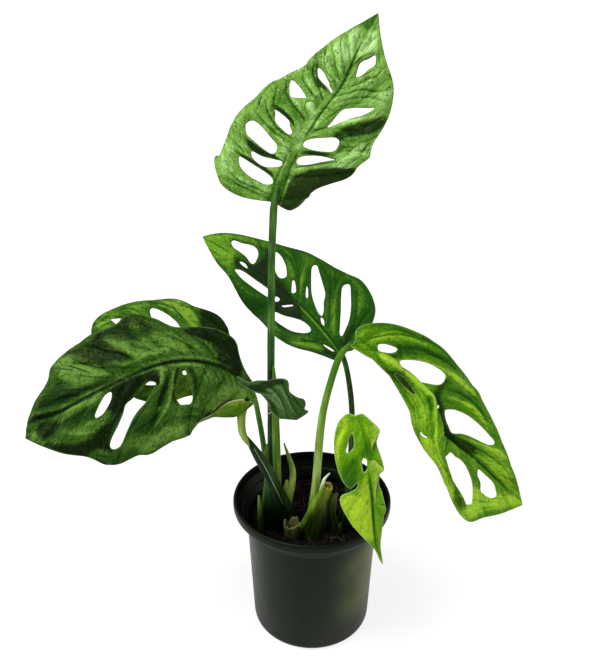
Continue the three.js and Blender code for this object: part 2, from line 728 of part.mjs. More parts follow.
const middle = joined(CROWNS.crown_middle);
const right = joined(CROWNS.crown_right);
const crowns = {
  crown_left: joined(CROWNS.crown_left).subtract(joined(CROWNS.crown_middle, CLEAR)),
  crown_middle: middle,
  crown_right: right.subtract(joined(CROWNS.crown_middle, CLEAR)),
};
let soil = soilSolid();
let fatCrowns = null;
for (const [name, stems] of Object.entries(CROWNS)) {
  const fat = joined(stems, CLEAR);
  soil = soil.subtract(fat);
  fatCrowns = fatCrowns ? fatCrowns.add(fat) : fat;
  plant.add(piece(name, crowns[name], name === "crown_middle" ? 0x8f9a4c : 0x5c7a33, 0.6));
}
plant.add(piece("soil", soil, 0x2b1f17, 0.95));

for (const [name, stations] of Object.entries(PETIOLES)) {
  const which = name.split("_")[1];
  const stalk = stem(stations).subtract(fatCrowns);
  let leaf = largest(blade(BLADES["blade_" + which]).subtract(stem(stations, CLEAR)));
  if (which === "left") leaf = leaf.add(blade(LOBE, false));
  plant.add(piece(name, stalk, which === "top" ? 0x5b8a35 : 0x4f7a30, 0.55));
  plant.add(piece("blade_" + which, leaf, GREEN[which], 0.5));
}

export default plant;
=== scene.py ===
# A potted monstera adansonii: the finished surfaces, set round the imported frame.
# Metres, +Z up. The tables of stems and leaves are in millimetres and go through MM.
import math
from functools import partial

import bpy
import numpy as np
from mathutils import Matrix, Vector, noise
from mathutils.geometry import delaunay_2d_cdt


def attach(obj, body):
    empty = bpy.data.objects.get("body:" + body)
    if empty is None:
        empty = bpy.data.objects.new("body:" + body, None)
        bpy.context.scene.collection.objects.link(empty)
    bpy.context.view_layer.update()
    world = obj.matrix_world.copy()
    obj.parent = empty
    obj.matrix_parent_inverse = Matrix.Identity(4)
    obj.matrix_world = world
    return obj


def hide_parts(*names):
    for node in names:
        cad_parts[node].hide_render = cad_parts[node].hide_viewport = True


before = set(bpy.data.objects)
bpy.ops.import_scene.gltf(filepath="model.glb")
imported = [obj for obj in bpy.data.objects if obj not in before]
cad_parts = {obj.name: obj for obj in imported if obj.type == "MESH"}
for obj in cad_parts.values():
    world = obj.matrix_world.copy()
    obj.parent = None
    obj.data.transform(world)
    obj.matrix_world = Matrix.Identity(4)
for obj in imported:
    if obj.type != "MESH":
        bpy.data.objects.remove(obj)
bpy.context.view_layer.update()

# ---- camera ----
# It stands level with the top leaf, half a metre in front, and looks down on the pot.
def standing(name, data):
    """A new object in the scene."""
    made = bpy.data.objects.new(name, data)
    bpy.context.scene.collection.objects.link(made)
    return made


camera = standing("camera", bpy.data.cameras.new("camera"))
bpy.context.scene.camera = camera
camera.location = (0, -0.476, 0.466)
camera.rotation_euler = (math.radians(90 - 24.4), 0, math.radians(1.09))
camera.data.lens = 41.5
camera.data.clip_start = 0.02

# ---- pot ----
# A thin moulded nursery pot of black plastic that has greyed with handling: straight body,
# flared band and rolled lip, six drain holes in the floor. A sheen on each side of the body
# and shade on the inner wall are painted into its colour.
MM = 0.001
POT_HEIGHT = 112
LIP_RADIUS = 60
WAIST_RADIUS = 49.8
WAIST_HEIGHT = 94
FOOT_RADIUS = 46
POT_WALL = 1.3
POT_FLOOR = 2
DRAIN_HOLES = 6
DRAIN_RADIUS = 4
DRAIN_CIRCLE = 31


def linear(code):
    """A scene colour from a #rrggbb paint code."""
    shares = [int(code[i : i + 2], 16) / 255 for i in (1, 3, 5)]
    return tuple(((s + 0.055) / 1.055) ** 2.4 if s > 0.04 else s / 12.92 for s in shares) + (1,)


def feed(tree, node, inputs):
    """Gives a node its inputs: plain values, paint codes, outputs or, for its first output, a node."""
    for key, value in inputs.items():
        if isinstance(value, bpy.types.Node):
            value = value.outputs[0]
        named = [s for s in node.inputs if s.name == key and s.enabled]
        socket = named[0] if named else node.inputs[key]
        if isinstance(value, bpy.types.NodeSocket):
            tree.links.new(value, socket)
        else:
            socket.default_value = linear(value) if str(value)[:1] == "#" else value
    return node


def add(tree, kind, inputs=None, **settings):
    """A new node with its settings and inputs."""
    made = tree.nodes.new(kind)
    for key, value in settings.items():
        setattr(made, key, value)
    return feed(tree, made, inputs or {})


def calc(tree, operation, a, b=0.0):
    """The output of a sum on two values."""
    kind = "ShaderNodeMath"
    return add(tree, kind, {0: a, 1: b}, operation=operation).outputs[0]


def rise(tree, value, low, high):
    """0 below low and 1 above high, smooth between; low may be the larger one."""
    inputs = {"Value": value, "From Min": low, "From Max": high}
    return add(tree, "ShaderNodeMapRange", inputs, interpolation_type="SMOOTHSTEP").outputs[0]


def vector_sum(tree, operation, a, b=(0, 0, 0)):
    """The output of a sum on two vectors."""
    made = add(tree, "ShaderNodeVectorMath", {0: a, 1: b}, operation=operation)
    return made.outputs[1 if operation in ("DOT_PRODUCT", "LENGTH") else 0]


def times(tree, vector, factor):
    """A vector scaled."""
    return add(tree, "ShaderNodeVectorMath", {0: vector, "Scale": factor}, operation="SCALE").outputs[0]


def blend(tree, share, a, b, how="MIX"):
    """Two colours mixed."""
    inputs = {0: share, 6: a, 7: b}
    return add(tree, "ShaderNodeMix", inputs, data_type="RGBA", blend_type=how).outputs[2]


def specks(tree, place, scale, detail=3.0, rough=0.55, warp=0.0):
    """Values of a soft random pattern."""
    inputs = {"Vector": place, "Scale": scale, "Detail": detail, "Roughness": rough, "Distortion": warp}
    return add(tree, "ShaderNodeTexNoise", inputs).outputs[0]


def at(tree):
    """The place on the object."""
    return add(tree, "ShaderNodeTexCoord").outputs["Object"]


def desk(tree):
    """The sums, ramps, mixes and patterns above, bound to one tree."""
    sums = [partial(calc, tree, how) for how in ("MULTIPLY", "ADD", "SUBTRACT")]
    return sums + [partial(rise, tree), partial(blend, tree), partial(specks, tree)]


def new_material(name):
    """An empty material with its shader and its tree."""
    made = bpy.data.materials.new(name)
    made.use_nodes = True
    return made, made.node_tree, made.node_tree.nodes["Principled BSDF"]


def wire(tree, shader, colour, roughness, height, depth, gleam=0.5):
    """Joins colour, roughness and a bump of the given depth, in metres, to a shader."""
    bump = add(tree, "ShaderNodeBump", {"Height": height, "Distance": depth, "Strength": 1.0})
    feed(tree, shader, {"Base Color": colour, "Roughness": roughness, "Normal": bump})
    feed(tree, shader, {"Specular IOR Level": gleam})
    return bump


def shell(name, points, faces, *materials, edges=()):
    """A smooth mesh in its own object, from points in millimetres."""
    mesh = bpy.data.meshes.new(name)
    mesh.from_pydata((np.asarray(points) * MM).tolist(), edges, faces)
    for material in materials:
        mesh.materials.append(material)
    mesh.shade_smooth()
    return standing(name, mesh)


def placed(piece, slot, *nodes):
    """Attaches a finished piece to the root body and hides the frame's parts that it replaces."""
    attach(piece, "root")
    if nodes:
        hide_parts(*nodes)
    return piece


def rounded(profile, cut, steps=4):
    """A profile with each corner cut back and rounded."""
    points = [np.array(p, float) for p in profile]
    soft = [points[0]]
    for a, b, c in zip(points, points[1:], points[2:]):
        room = min(cut, 0.42 * np.linalg.norm(a - b), 0.42 * np.linalg.norm(c - b))
        start = b + (a - b) / np.linalg.norm(a - b) * room
        end = b + (c - b) / np.linalg.norm(c - b) * room
        for i in range(steps + 1):
            t = i / steps
            soft.append((1 - t) ** 2 * start + 2 * t * (1 - t) * b + t * t * end)
    return soft + [points[-1]]


def turned(profile, sides):
    """A closed shell from [radius, height] pairs that start and end on the axis."""
    rings = profile[1:-1]
    points = [(0, 0, profile[0][1])]
    for radius, height in rings:
        for k in range(sides):
            a = 2 * math.pi * k / sides
            points.append((radius * math.cos(a), radius * math.sin(a), height))
    points.append((0, 0, profile[-1][1]))
    faces = []
    for k in range(sides):
        j = (k + 1) % sides
        faces.append((0, 1 + j, 1 + k))
        for i in range(len(rings) - 1):
            low, high = 1 + i * sides, 1 + (i + 1) * sides
            faces.append((low + k, low + j, high + j, high + k))
        last = 1 + (len(rings) - 1) * sides
        faces.append((last + k, last + j, len(points) - 1))
    return points, faces


def new_tree(name, **sockets):
    """A geometry tree that takes a mesh and the named inputs, with its first and last node."""
    tree = bpy.data.node_groups.new(name, "GeometryNodeTree")
    tree.interface.new_socket("Geometry", in_out="OUTPUT", socket_type="NodeSocketGeometry")
    tree.interface.new_socket("Geometry", in_out="INPUT", socket_type="NodeSocketGeometry")
    for label, kind in sockets.items():
        tree.interface.new_socket(label, in_out="INPUT", socket_type="NodeSocket" + kind)
    return tree, add(tree, "NodeGroupInput").outputs, add(tree, "NodeGroupOutput").inputs


def close(tree, shape, given, result):
    """Ends a geometry tree: its copies made real, its finish set."""
    real = add(tree, "GeometryNodeRealizeInstances", {0: shape})
    finish = add(tree, "GeometryNodeSetMaterial", {"Geometry": real, "Material": given["Finish"]})
    tree.links.new(finish.outputs[0], result[0])


def grown(piece, tree, **values):
    """Runs a geometry tree on a piece and keeps the result as its plain mesh."""
    modifier = piece.modifiers.new(tree.name, "NODES")
    modifier.node_group = tree
    for item in tree.interface.items_tree:
        if item.name in values:
            modifier[item.identifier] = values[item.name]
    bpy.context.view_layer.update()
    evaluated = piece.evaluated_get(bpy.context.evaluated_depsgraph_get())
    mesh = bpy.data.meshes.new_from_object(evaluated)
    piece.modifiers.remove(modifier)
    piece.data = mesh
    return piece


plastic, tree, shader = new_material("greyed_plastic")
mul, plus, minus, ramp, mix, speck = desk(tree)
place = at(tree)
stretch = add(tree, "ShaderNodeMapping", {"Vector": place, "Scale": (1, 1, 0.25)})
cloud = speck(place, 14, 4)
scuff = speck(stretch, 90, 5, 0.7)
grit = speck(place, 900, 2)
right, _, height = add(tree, "ShaderNodeSeparateXYZ", {0: place}).outputs
dust = mul(ramp(cloud, 0.45, 0.75), ramp(height, 0.07, 0.0))
wear_and_painted_light = mix(ramp(cloud, 0.3, 0.75), "#060b04", "#0c140a")
wear_and_painted_light = mix(mul(ramp(scuff, 0.56, 0.8), 0.22), wear_and_painted_light, "#262d20")
wear_and_painted_light = mix(mul(dust, 0.3), wear_and_painted_light, "#30321f")
# Painted sheen: an olive band on the right of the body and a grey-green one on the left stand for the gleam
# of light there.
painted_sheen_band = mul(ramp(height, 0.012, 0.045), ramp(height, 0.1, 0.075))
painted_sheen_band = mul(painted_sheen_band, ramp(cloud, 0.2, 0.7))
wear_and_painted_light = mix(mul(mul(painted_sheen_band, ramp(right, 0.01, 0.043)), 0.7), wear_and_painted_light, "#626c34")
wear_and_painted_light = mix(mul(mul(painted_sheen_band, ramp(right, -0.03, -0.05)), 0.7), wear_and_painted_light, "#56664c")
# Painted shade: the inner wall, which faces the axis, is darkened nearly to black.
outward = add(tree, "ShaderNodeTexCoord").outputs["Normal"]
across = vector_sum(tree, "MULTIPLY", place, (1, 1, 0))
facing_out = vector_sum(tree, "DOT_PRODUCT", across, outward)
inside = mul(ramp(facing_out, 0.0, -0.02), 0.85)
wear_and_painted_light = mix(inside, wear_and_painted_light, "#010201")
gloss = plus(mul(scuff, 0.22), 0.34)
relief = plus(mul(grit, 0.5), mul(scuff, 0.6))
wire(tree, shader, wear_and_painted_light, gloss, relief, 0.00012, gleam=0.16)
feed(tree, shader, {"Specular Tint": "#cce4c0"})

bore = FOOT_RADIUS - POT_WALL
mouth = WAIST_RADIUS - POT_WALL
lip_inner = LIP_RADIUS - 2.6
wall = [
    (0, 0), (FOOT_RADIUS - 3, 0), (FOOT_RADIUS - 0.6, 1.6), (FOOT_RADIUS, 4),
    (WAIST_RADIUS, WAIST_HEIGHT), (WAIST_RADIUS + 3.6, WAIST_HEIGHT + 4.6),
    (LIP_RADIUS - 2, POT_HEIGHT - 7.6), (LIP_RADIUS - 0.4, POT_HEIGHT - 7.2),
    (LIP_RADIUS, POT_HEIGHT - 5.5), (LIP_RADIUS, POT_HEIGHT - 2),
    (LIP_RADIUS - 0.6, POT_HEIGHT - 0.5), (LIP_RADIUS - 1.5, POT_HEIGHT),
    (lip_inner, POT_HEIGHT - 0.6), (lip_inner - 0.6, POT_HEIGHT - 6),
    (WAIST_RADIUS + 3.6, WAIST_HEIGHT + 6.4), (WAIST_RADIUS + 2.6, WAIST_HEIGHT + 6),
    (mouth, WAIST_HEIGHT + 0.6), (bore, POT_FLOOR), (0, POT_FLOOR),
]
points, faces = turned(rounded(wall, 1.1), 160)
pot = shell("pot_shell", points, faces, plastic)

kinds = dict(Count="Int", Circle="Float", Radius="Float", Finish="Material")
drilled, given, result = new_tree("drain holes", **kinds)
ring = add(drilled, "GeometryNodeMeshCircle", {"Vertices": given["Count"], "Radius": given["Circle"]})
bit = add(drilled, "GeometryNodeMeshCylinder", {"Vertices": 40, "Radius": given["Radius"], "Depth": 0.02})
holes = add(drilled, "GeometryNodeInstanceOnPoints", {"Points": ring, "Instance": bit})
real = add(drilled, "GeometryNodeRealizeInstances", {0: holes})
cut = add(drilled, "GeometryNodeMeshBoolean", {"Mesh 1": given["Geometry"], "Mesh 2": real})
close(drilled, cut, given, result)
grown(pot, drilled, Count=DRAIN_HOLES, Circle=DRAIN_CIRCLE * MM, Radius=DRAIN_RADIUS * MM, Finish=plastic)
placed(pot, "pot_plastic", "pot")

# ---- soil ----
# Dark peaty potting mix that fills the pot to two centimetres below the lip, with bark
# crumbs and root fibres loose on top.
SOIL_HEIGHT = 92
SOIL_RADIUS = 48.0


def lumps(x, y):
    """Height of the soil's top above its mean, in millimetres."""
    broad = 1.1 * math.sin(x * 0.12 + 1) * math.cos(y * 0.1)
    return broad + 1.5 * noise.noise(Vector((x, y, 3)) * 0.13) + noise.noise(Vector((x, y, 0)) * 0.5)


earth, tree, shader = new_material("peaty_soil")
mul, plus, minus, ramp, mix, speck = desk(tree)
place = at(tree)
grain = speck(place, 420, 6, 0.7)
clod = speck(place, 60, 3)
peat = mix(ramp(grain, 0.35, 0.7), "#020201", "#0d0906")
peat = mix(mul(ramp(clod, 0.52, 0.7), 0.5), peat, "#150e08")
dull = plus(mul(grain, 0.2), 0.72)
wire(tree, shader, peat, dull, grain, 0.0012, gleam=0.08)

bark, tree, shader = new_material("bark_crumbs")
mul, plus, minus, ramp, mix, speck = desk(tree)
place = at(tree)
which = speck(place, 95, 1)
grain = speck(place, 700, 4, 0.7)
chip = mix(ramp(which, 0.42, 0.62), "#040302", "#110c07")
chip = mix(ramp(which, 0.64, 0.7), chip, "#3c2c1c")
chip = mix(mul(ramp(grain, 0.5, 0.7), 0.5), chip, "#0e0a06")
wire(tree, shader, chip, plus(mul(grain, 0.2), 0.66), grain, 0.0005, gleam=0.1)

profile = [(0, POT_FLOOR + 0.3), (bore - 0.4, POT_FLOOR + 0.3), (SOIL_RADIUS - 0.2, SOIL_HEIGHT - 3)]
profile += [(r, SOIL_HEIGHT) for r in np.linspace(SOIL_RADIUS - 0.4, 1.0, 44)] + [(0, SOIL_HEIGHT)]
points, faces = turned(profile, 180)
heaped = []
for x, y, z in points:
    ridge = min(1.0, (SOIL_RADIUS - math.hypot(x, y)) / 4)
    heaped.append((x, y, z + ridge * lumps(x, y) if z > SOIL_HEIGHT - 1 else z))
placed(shell("soil_fill", heaped, faces, earth), "potting_soil", "soil")


def strew(tree, bit, sizes, tilt, given, result):
    """Ends a tree that strews copies of a bit over the upward faces of a mesh near its middle."""
    where = add(tree, "GeometryNodeInputPosition")
    radius = vector_sum(tree, "LENGTH", vector_sum(tree, "MULTIPLY", where, (1, 1, 0)))
    facing = add(tree, "ShaderNodeSeparateXYZ", {0: add(tree, "GeometryNodeInputNormal")})
    upward = calc(tree, "GREATER_THAN", facing.outputs[2], 0.4)
    top_only = calc(tree, "MULTIPLY", upward, calc(tree, "LESS_THAN", radius, given["Spread"]))
    spots = add(tree, "GeometryNodeDistributePointsOnFaces", {
        "Mesh": given["Geometry"], "Selection": top_only, "Density": given["Density"], "Seed": given["Seed"],
    })
    size = add(tree, "FunctionNodeRandomValue", {2: sizes[0], 3: sizes[1], "Seed": given["Seed"]})
    turns = {0: (-tilt, -tilt, 0), 1: (tilt, tilt, 6.28), "Seed": given["Seed"]}
    spin = add(tree, "FunctionNodeRandomValue", turns, data_type="FLOAT_VECTOR")
    copies = add(tree, "GeometryNodeInstanceOnPoints", {
        "Points": spots, "Instance": bit, "Rotation": spin, "Scale": size.outputs[1],
    })
    close(tree, copies, given, result)


kinds = dict(Density="Float", Length="Float", Spread="Float", Seed="Int", Finish="Material")
crumbled, given, result = new_tree("loose crumbs", Size="Float", **kinds)
where = add(crumbled, "GeometryNodeInputPosition")
crumb = add(crumbled, "GeometryNodeMeshIcoSphere", {"Radius": given["Size"], "Subdivisions": 2})
dent = add(crumbled, "ShaderNodeTexNoise", {"Vector": where, "Scale": 420.0, "Detail": 1.0}).outputs[1]
push = times(crumbled, vector_sum(crumbled, "SUBTRACT", dent, (0.5, 0.5, 0.5)), given["Size"])
lump = add(crumbled, "GeometryNodeSetPosition", {"Geometry": crumb, "Offset": push})
longer = add(crumbled, "ShaderNodeCombineXYZ", {0: given["Length"], 1: 1.0, 2: 0.6})
chip = add(crumbled, "GeometryNodeTransform", {"Geometry": lump, "Scale": longer})
strew(crumbled, chip, (0.35, 1.25), 0.5, given, result)
crumbs = shell("soil_crumbs", heaped, faces, bark)
grown(crumbs, crumbled, Density=220000.0, Size=0.0011, Length=1.5, Spread=0.0455, Seed=4, Finish=bark)
placed(crumbs, "potting_soil")
chunks = shell("bark_chips", heaped, faces, bark)
grown(chunks, crumbled, Density=22000.0, Size=0.0024, Length=2.0, Spread=0.0435, Seed=9, Finish=bark)
placed(chunks, "potting_soil")

rooted, given, result = new_tree("root fibres", **kinds)
bow = add(rooted, "GeometryNodeCurveQuadraticBezier", {
    "Resolution": 8, "Start": (-0.5, 0, 0), "Middle": (0, 0.35, 0.3), "End": (0.5, 0, 0.05),
})
small = add(rooted, "GeometryNodeCurvePrimitiveCircle", {"Resolution": 5, "Radius": 0.00016})
reach = add(rooted, "ShaderNodeCombineXYZ", {0: given["Length"], 1: given["Length"], 2: given["Length"]})
scaled = add(rooted, "GeometryNodeTransform", {"Geometry": bow, "Scale": reach})
tube = add(rooted, "GeometryNodeCurveToMesh", {
    "Curve": scaled, "Profile Curve": small, "Fill Caps": True,
})
strew(rooted, tube, (0.4, 1.2), 0.3, given, result)

root_hair, tree, shader = new_material("root_fibre")
place = at(tree)
grain = specks(tree, place, 500, 3)
strand = blend(tree, rise(tree, grain, 0.3, 0.7), "#241a11", "#5c4830")
wire(tree, shader, strand, calc(tree, "ADD", calc(tree, "MULTIPLY", grain, 0.2), 0.6), grain, 0.0002)
fibres = shell("root_fibres", heaped, faces, root_hair)
grown(fibres, rooted, Density=18000.0, Length=0.011, Spread=0.042, Seed=3, Finish=root_hair)
placed(fibres, "potting_soil")

# ---- stems ----
# The stalks rise from the soil, wrapped at their foot in the sheaths they grew from. Each is
# one fleshy tube, grown along its own line, thicker at the foot.
STALK_SIDES = 28
FLUTES = 6.0
FLUTE_DEPTH = 0.02
KNOBBLE = 0.12


def through(points, dense=12, ends="mirrored"):
    """A smooth curve through points, or a run of x, y pairs, and the distance run along it."""
    p = np.array(points, float)
    p = p if p.ndim > 1 else p.reshape(-1, 2)
    ends = {
        "mirrored": (2 * p[0] - p[1], 2 * p[-1] - p[-2]),
        "repeated": (p[0], p[-1]),
        "closed": (p[-2], p[1]),
    }[ends]
    p = np.vstack([ends[0], p, ends[1]])
    u = np.linspace(0, 1, dense, endpoint=False)[:, None]
    spans = []
    for a, b, c, d in zip(p, p[1:], p[2:], p[3:]):
        cubic = (3 * b - a - 3 * c + d) * u**3
        spans.append(0.5 * (2 * b + (c - a) * u + (2 * a - 5 * b + 4 * c - d) * u * u + cubic))
    curve = np.vstack(spans + [p[-2:-1]])
    steps = np.linalg.norm(np.diff(curve[:, :3], axis=0), axis=1)
    return curve, np.append(0, np.cumsum(steps))


def sampled(curve, run, where):
    """The curve's values at distances along it."""
    return np.stack([np.interp(where, run, column) for column in curve.T], axis=1)


def unit(vectors):
    return vectors / np.linalg.norm(vectors, axis=-1, keepdims=True)


def spaced(stations, step):
    """Even stations along a stem, its length, and the ways along and across it at each."""
    curve, run = through(stations)
    even = sampled(curve, run, np.linspace(0, run[-1], int(run[-1] / step) + 2))
    tangent = unit(np.gradient(even[:, :3], axis=0))
    return even, run[-1], tangent, unit(np.cross(tangent, (0, 1, 0)))


def stalk_line(name, stations):
    """A stem's line of edges from stations [x, y, z, half width, half depth], with its sizes."""
    even, length, tangent, across = spaced(stations, 1.5)
    deep = np.cross(across, tangent)
    left = (1 - np.linspace(0, 1, len(even))) * length
    tip = np.sqrt(np.clip(1 - (1 - np.clip(left / even[-1, 3], 0, 1)) ** 2, 0.003, 1))
    made = shell(name, even[:, :3], [], edges=[(i, i + 1) for i in range(len(even) - 1)])
    mesh = made.data
    store(mesh, "half_width", even[:, 3] * tip * MM)
    store(mesh, "ratio", even[:, 4] / even[:, 3])
    mesh.attributes.new("deep", "FLOAT_VECTOR", "POINT").data.foreach_set("vector", deep.ravel())
    return made


def named(tree, label, kind="FLOAT"):
    """The output of a named attribute."""
    return add(tree, "GeometryNodeInputNamedAttribute", {"Name": label}, data_type=kind)


def keep(tree, geometry, label, value, kind="FLOAT"):
    """Stores a value on the points of a shape."""
    inputs = {"Geometry": geometry, "Name": label, "Value": value}
    return add(tree, "GeometryNodeStoreNamedAttribute", inputs, data_type=kind)


kinds = dict(Sides="Int", Flutes="Float", Flute="Float", Knobble="Float", Finish="Material")
stalks, given, result = new_tree("stalk", **kinds)
mul, plus, minus, ramp, mix, speck = desk(stalks)
line = add(stalks, "GeometryNodeMeshToCurve", {0: given["Geometry"]})
where = add(stalks, "GeometryNodeInputPosition")
line = keep(stalks, line, "axis", where, "FLOAT_VECTOR")
deep = named(stalks, "deep", "FLOAT_VECTOR")
upright = add(stalks, "GeometryNodeSetCurveNormal", {0: line, "Normal": deep}, mode="FREE")
circle = add(stalks, "GeometryNodeCurvePrimitiveCircle", {"Resolution": given["Sides"], "Radius": 1.0})
factor = add(stalks, "GeometryNodeSplineParameter")
around = keep(stalks, circle, "around", factor)
tube = add(stalks, "GeometryNodeCurveToMesh", {
    "Curve": upright, "Profile Curve": around,
    "Scale": named(stalks, "half_width"), "Fill Caps": True,
})
axis = named(stalks, "axis", "FLOAT_VECTOR")
spoke = vector_sum(stalks, "SUBTRACT", where, axis)
into = vector_sum(stalks, "DOT_PRODUCT", spoke, deep)
flat = times(stalks, deep, mul(into, minus(named(stalks, "ratio"), 1.0)))
turn = mul(mul(named(stalks, "around"), given["Flutes"]), 2 * math.pi)
ribs = mul(calc(stalks, "COSINE", turn), given["Flute"])
wobble = add(stalks, "ShaderNodeTexNoise", {"Vector": where, "Scale": 90.0, "Detail": 2.0})
swell = mul(minus(wobble, 0.5), given["Knobble"])
fuller = times(stalks, spoke, plus(ribs, swell))
moved = add(stalks, "GeometryNodeSetPosition", {
    "Geometry": tube, "Offset": vector_sum(stalks, "ADD", flat, fuller),
})
soft = add(stalks, "GeometryNodeSetShadeSmooth", {"Geometry": moved})
close(stalks, soft, given, result)


def stalk(name, stations, finish):
    """A finished stem's mesh in its own object."""
    shape = dict(Sides=STALK_SIDES, Flutes=FLUTES, Flute=FLUTE_DEPTH, Knobble=KNOBBLE)
    return grown(stalk_line(name, stations), stalks, Finish=finish, **shape)


def plate(name, finish, centre, faces, above, below):
    """A thin closed solid round a sheet of triangles, with a rounded rim; also its rim's points."""
    normal = facing(centre, faces)
    top = centre + normal * above[:, None]
    bottom = centre - normal * below[:, None]
    sides = {(a, b) for t in faces.tolist() for a, b in zip(t, t[1:] + t[:1])}
    border = sorted(pair for pair in sides if pair[::-1] not in sides)
    outward = np.zeros_like(centre)
    for a, b in border:
        away = np.cross(centre[b] - centre[a], normal[a])
        outward[a] += away
        outward[b] += away
    rim = sorted({i for pair in border for i in pair})
    number = {i: k for k, i in enumerate(rim)}
    n = len(centre)
    bulge = 0.3 * (above + below)[rim, None]
    mid = (top + bottom)[rim] / 2 + unit(outward[rim] + 1e-12) * bulge
    quads = []
    for a, b in border:
        ma, mb = 2 * n + number[a], 2 * n + number[b]
        quads += [(b, a, ma, mb), (mb, ma, n + a, n + b)]
    skins = faces.tolist() + (faces[:, ::-1] + n).tolist()
    return shell(name, np.vstack([top, bottom, mid]), skins + quads, finish), rim


def woven(rows, columns):
    """The triangles of a sheet of rows of points."""
    starts = [i * columns + k for i in range(rows - 1) for k in range(columns - 1)]
    pairs = [((a, a + 1, a + columns + 1), (a, a + columns + 1, a + columns)) for a in starts]
    return np.array(pairs).reshape(-1, 3)


def facing(points, faces):
    """The normal at each point of a mesh of triangles."""
    a, b, c = (points[faces[:, k]] for k in range(3))
    cross = np.cross(b - a, c - a)
    total = np.zeros_like(points)
    for k in range(3):
        np.add.at(total, faces[:, k], cross)
    return unit(total + 1e-12)


def store(mesh, label, values):
    """Keeps one number for each point of a mesh."""
    mesh.attributes.new(label, "FLOAT", "POINT").data.foreach_set("value", values)


def sheath(name, stations, finish, thick=0.9, lines=13):
    """A channel-shaped sheath, open at the back: stations [x, y, z, half width, bulge]."""
    even, _, tangent, across = spaced(stations, 1.2)
    front = np.cross(tangent, across)
    front *= np.where(front[:, 1:2] < 0, 1, -1)
    j = np.linspace(-1, 1, lines)
    width = np.maximum(even[:, 3], 0.25)
    points = (
        even[:, None, :3]
        + (across * width[:, None])[:, None] * j[None, :, None]
        + (front * even[:, 4:5])[:, None] * (1 - j**2)[None, :, None]
    ).reshape(-1, 3)
    half = np.full(len(points), thick / 2)
    made, rim = plate(name, finish, points, woven(len(even), lines), half, half)
    over = np.tile(j, len(even))
    store(made.data, "across", np.concatenate([over, over, over[rim]]))
    return made


def hollow(name, stations, finish, wall, deep, ragged, seed, sides=36):
    """A cut stem, hollow at its torn end: stations [x, y, z, half width, half depth]."""
    even, length, tangent, across = spaced(stations, 1.2)
    depth = np.cross(across, tangent)
    inside = [i for i in range(len(even)) if length - i * length / (len(even) - 1) < deep][::-1]
    turn = np.linspace(0, 2 * math.pi, sides, endpoint=False)
    tear = [noise.noise(Vector((1.6 * math.cos(a), 1.6 * math.sin(a), seed))) for a in turn]
    tear += 0.5 * np.array([noise.noise(Vector((5 * math.cos(a), 5 * math.sin(a), seed))) for a in turn])
    rings, cuts = [], []
    for order, i in enumerate(list(range(len(even))) + inside):
        inner = order >= len(even)
        down = (length - i * length / (len(even) - 1)) / deep
        inset = wall * (1 + 1.2 * down) if inner else 0
        rise_by = ragged * np.clip(1 - down, 0, 1) * tear
        ring = even[i, :3] + np.cos(turn)[:, None] * across[i] * (even[i, 3] - inset)
        ring = ring + np.sin(turn)[:, None] * depth[i] * (even[i, 4] - inset)
        rings.append(ring + rise_by[:, None] * tangent[i])
        cuts.append(np.full(sides, 0.9 if inner else max(0, 1 - down * 4)))
    ends = [even[0, :3], rings[-1].mean(axis=0)]
    points = np.vstack(rings + [ends])
    n = len(rings)
    faces = []
    for k in range(sides):
        m = (k + 1) % sides
        for i in range(n - 1):
            faces.append((i * sides + k, i * sides + m, (i + 1) * sides + m, (i + 1) * sides + k))
        faces.append((m, k, n * sides))
        faces.append(((n - 1) * sides + k, (n - 1) * sides + m, n * sides + 1))
    if np.dot(np.cross(across[0], depth[0]), tangent[0]) < 0:
        faces = [f[::-1] for f in faces]
    made = shell(name, points, faces, finish)
    store(made.data, "cut", np.concatenate(cuts + [[0, 0.9]]))
    return made


def gathered(name, parts):
    """Several objects joined in one."""
    first, *rest = parts
    with bpy.context.temp_override(active_object=first, selected_editable_objects=parts):
        bpy.ops.object.join()
    first.name = name
    return first


def new_skin(name, colours, values, results):
    """A shader group with its named inputs and, told by kind, its results."""
    made = bpy.data.node_groups.new(name, "ShaderNodeTree")
    sockets = [(label, "INPUT", "Color") for label in colours]
    sockets += [(label, "INPUT", "Float") for label in values]
    sockets += [(label, "OUTPUT", kind) for label, kind in results.items()]
    for label, way, kind in sockets:
        made.interface.new_socket(label, in_out=way, socket_type="NodeSocket" + kind)
    return made, add(made, "NodeGroupInput").outputs, add(made, "NodeGroupOutput").inputs


def stored(tree, label, which=2):
    """The output of a value stored on a mesh."""
    return add(tree, "ShaderNodeAttribute", attribute_name=label).outputs[which]


# Streaked skin, shared by stalks and sheaths: pale and dark run along the fibres, the foot has
# painted shade where it stands in the pot, and margins and cut ends take a colour of their own.
sent = {"Color": "Color", "Roughness": "Float", "Height": "Float"}
greens = ("Dark", "Mid", "Light", "Margin")
streaks, given, result = new_skin("streaked skin", greens, ("Lean", "Edge"), sent)
mul, plus, minus, ramp, mix, speck = desk(streaks)
place = at(streaks)
drawn = add(streaks, "ShaderNodeMapping", {"Vector": place, "Scale": (1, 1, 0.07)})
broad = speck(drawn, 170, 2)
fine = speck(drawn, 900, 3, 0.6)
cloud = speck(place, 45, 2)
tone = plus(plus(mul(broad, 0.9), mul(fine, 0.5)), mul(cloud, 0.5))
height = add(streaks, "ShaderNodeSeparateXYZ", {0: place}).outputs[2]
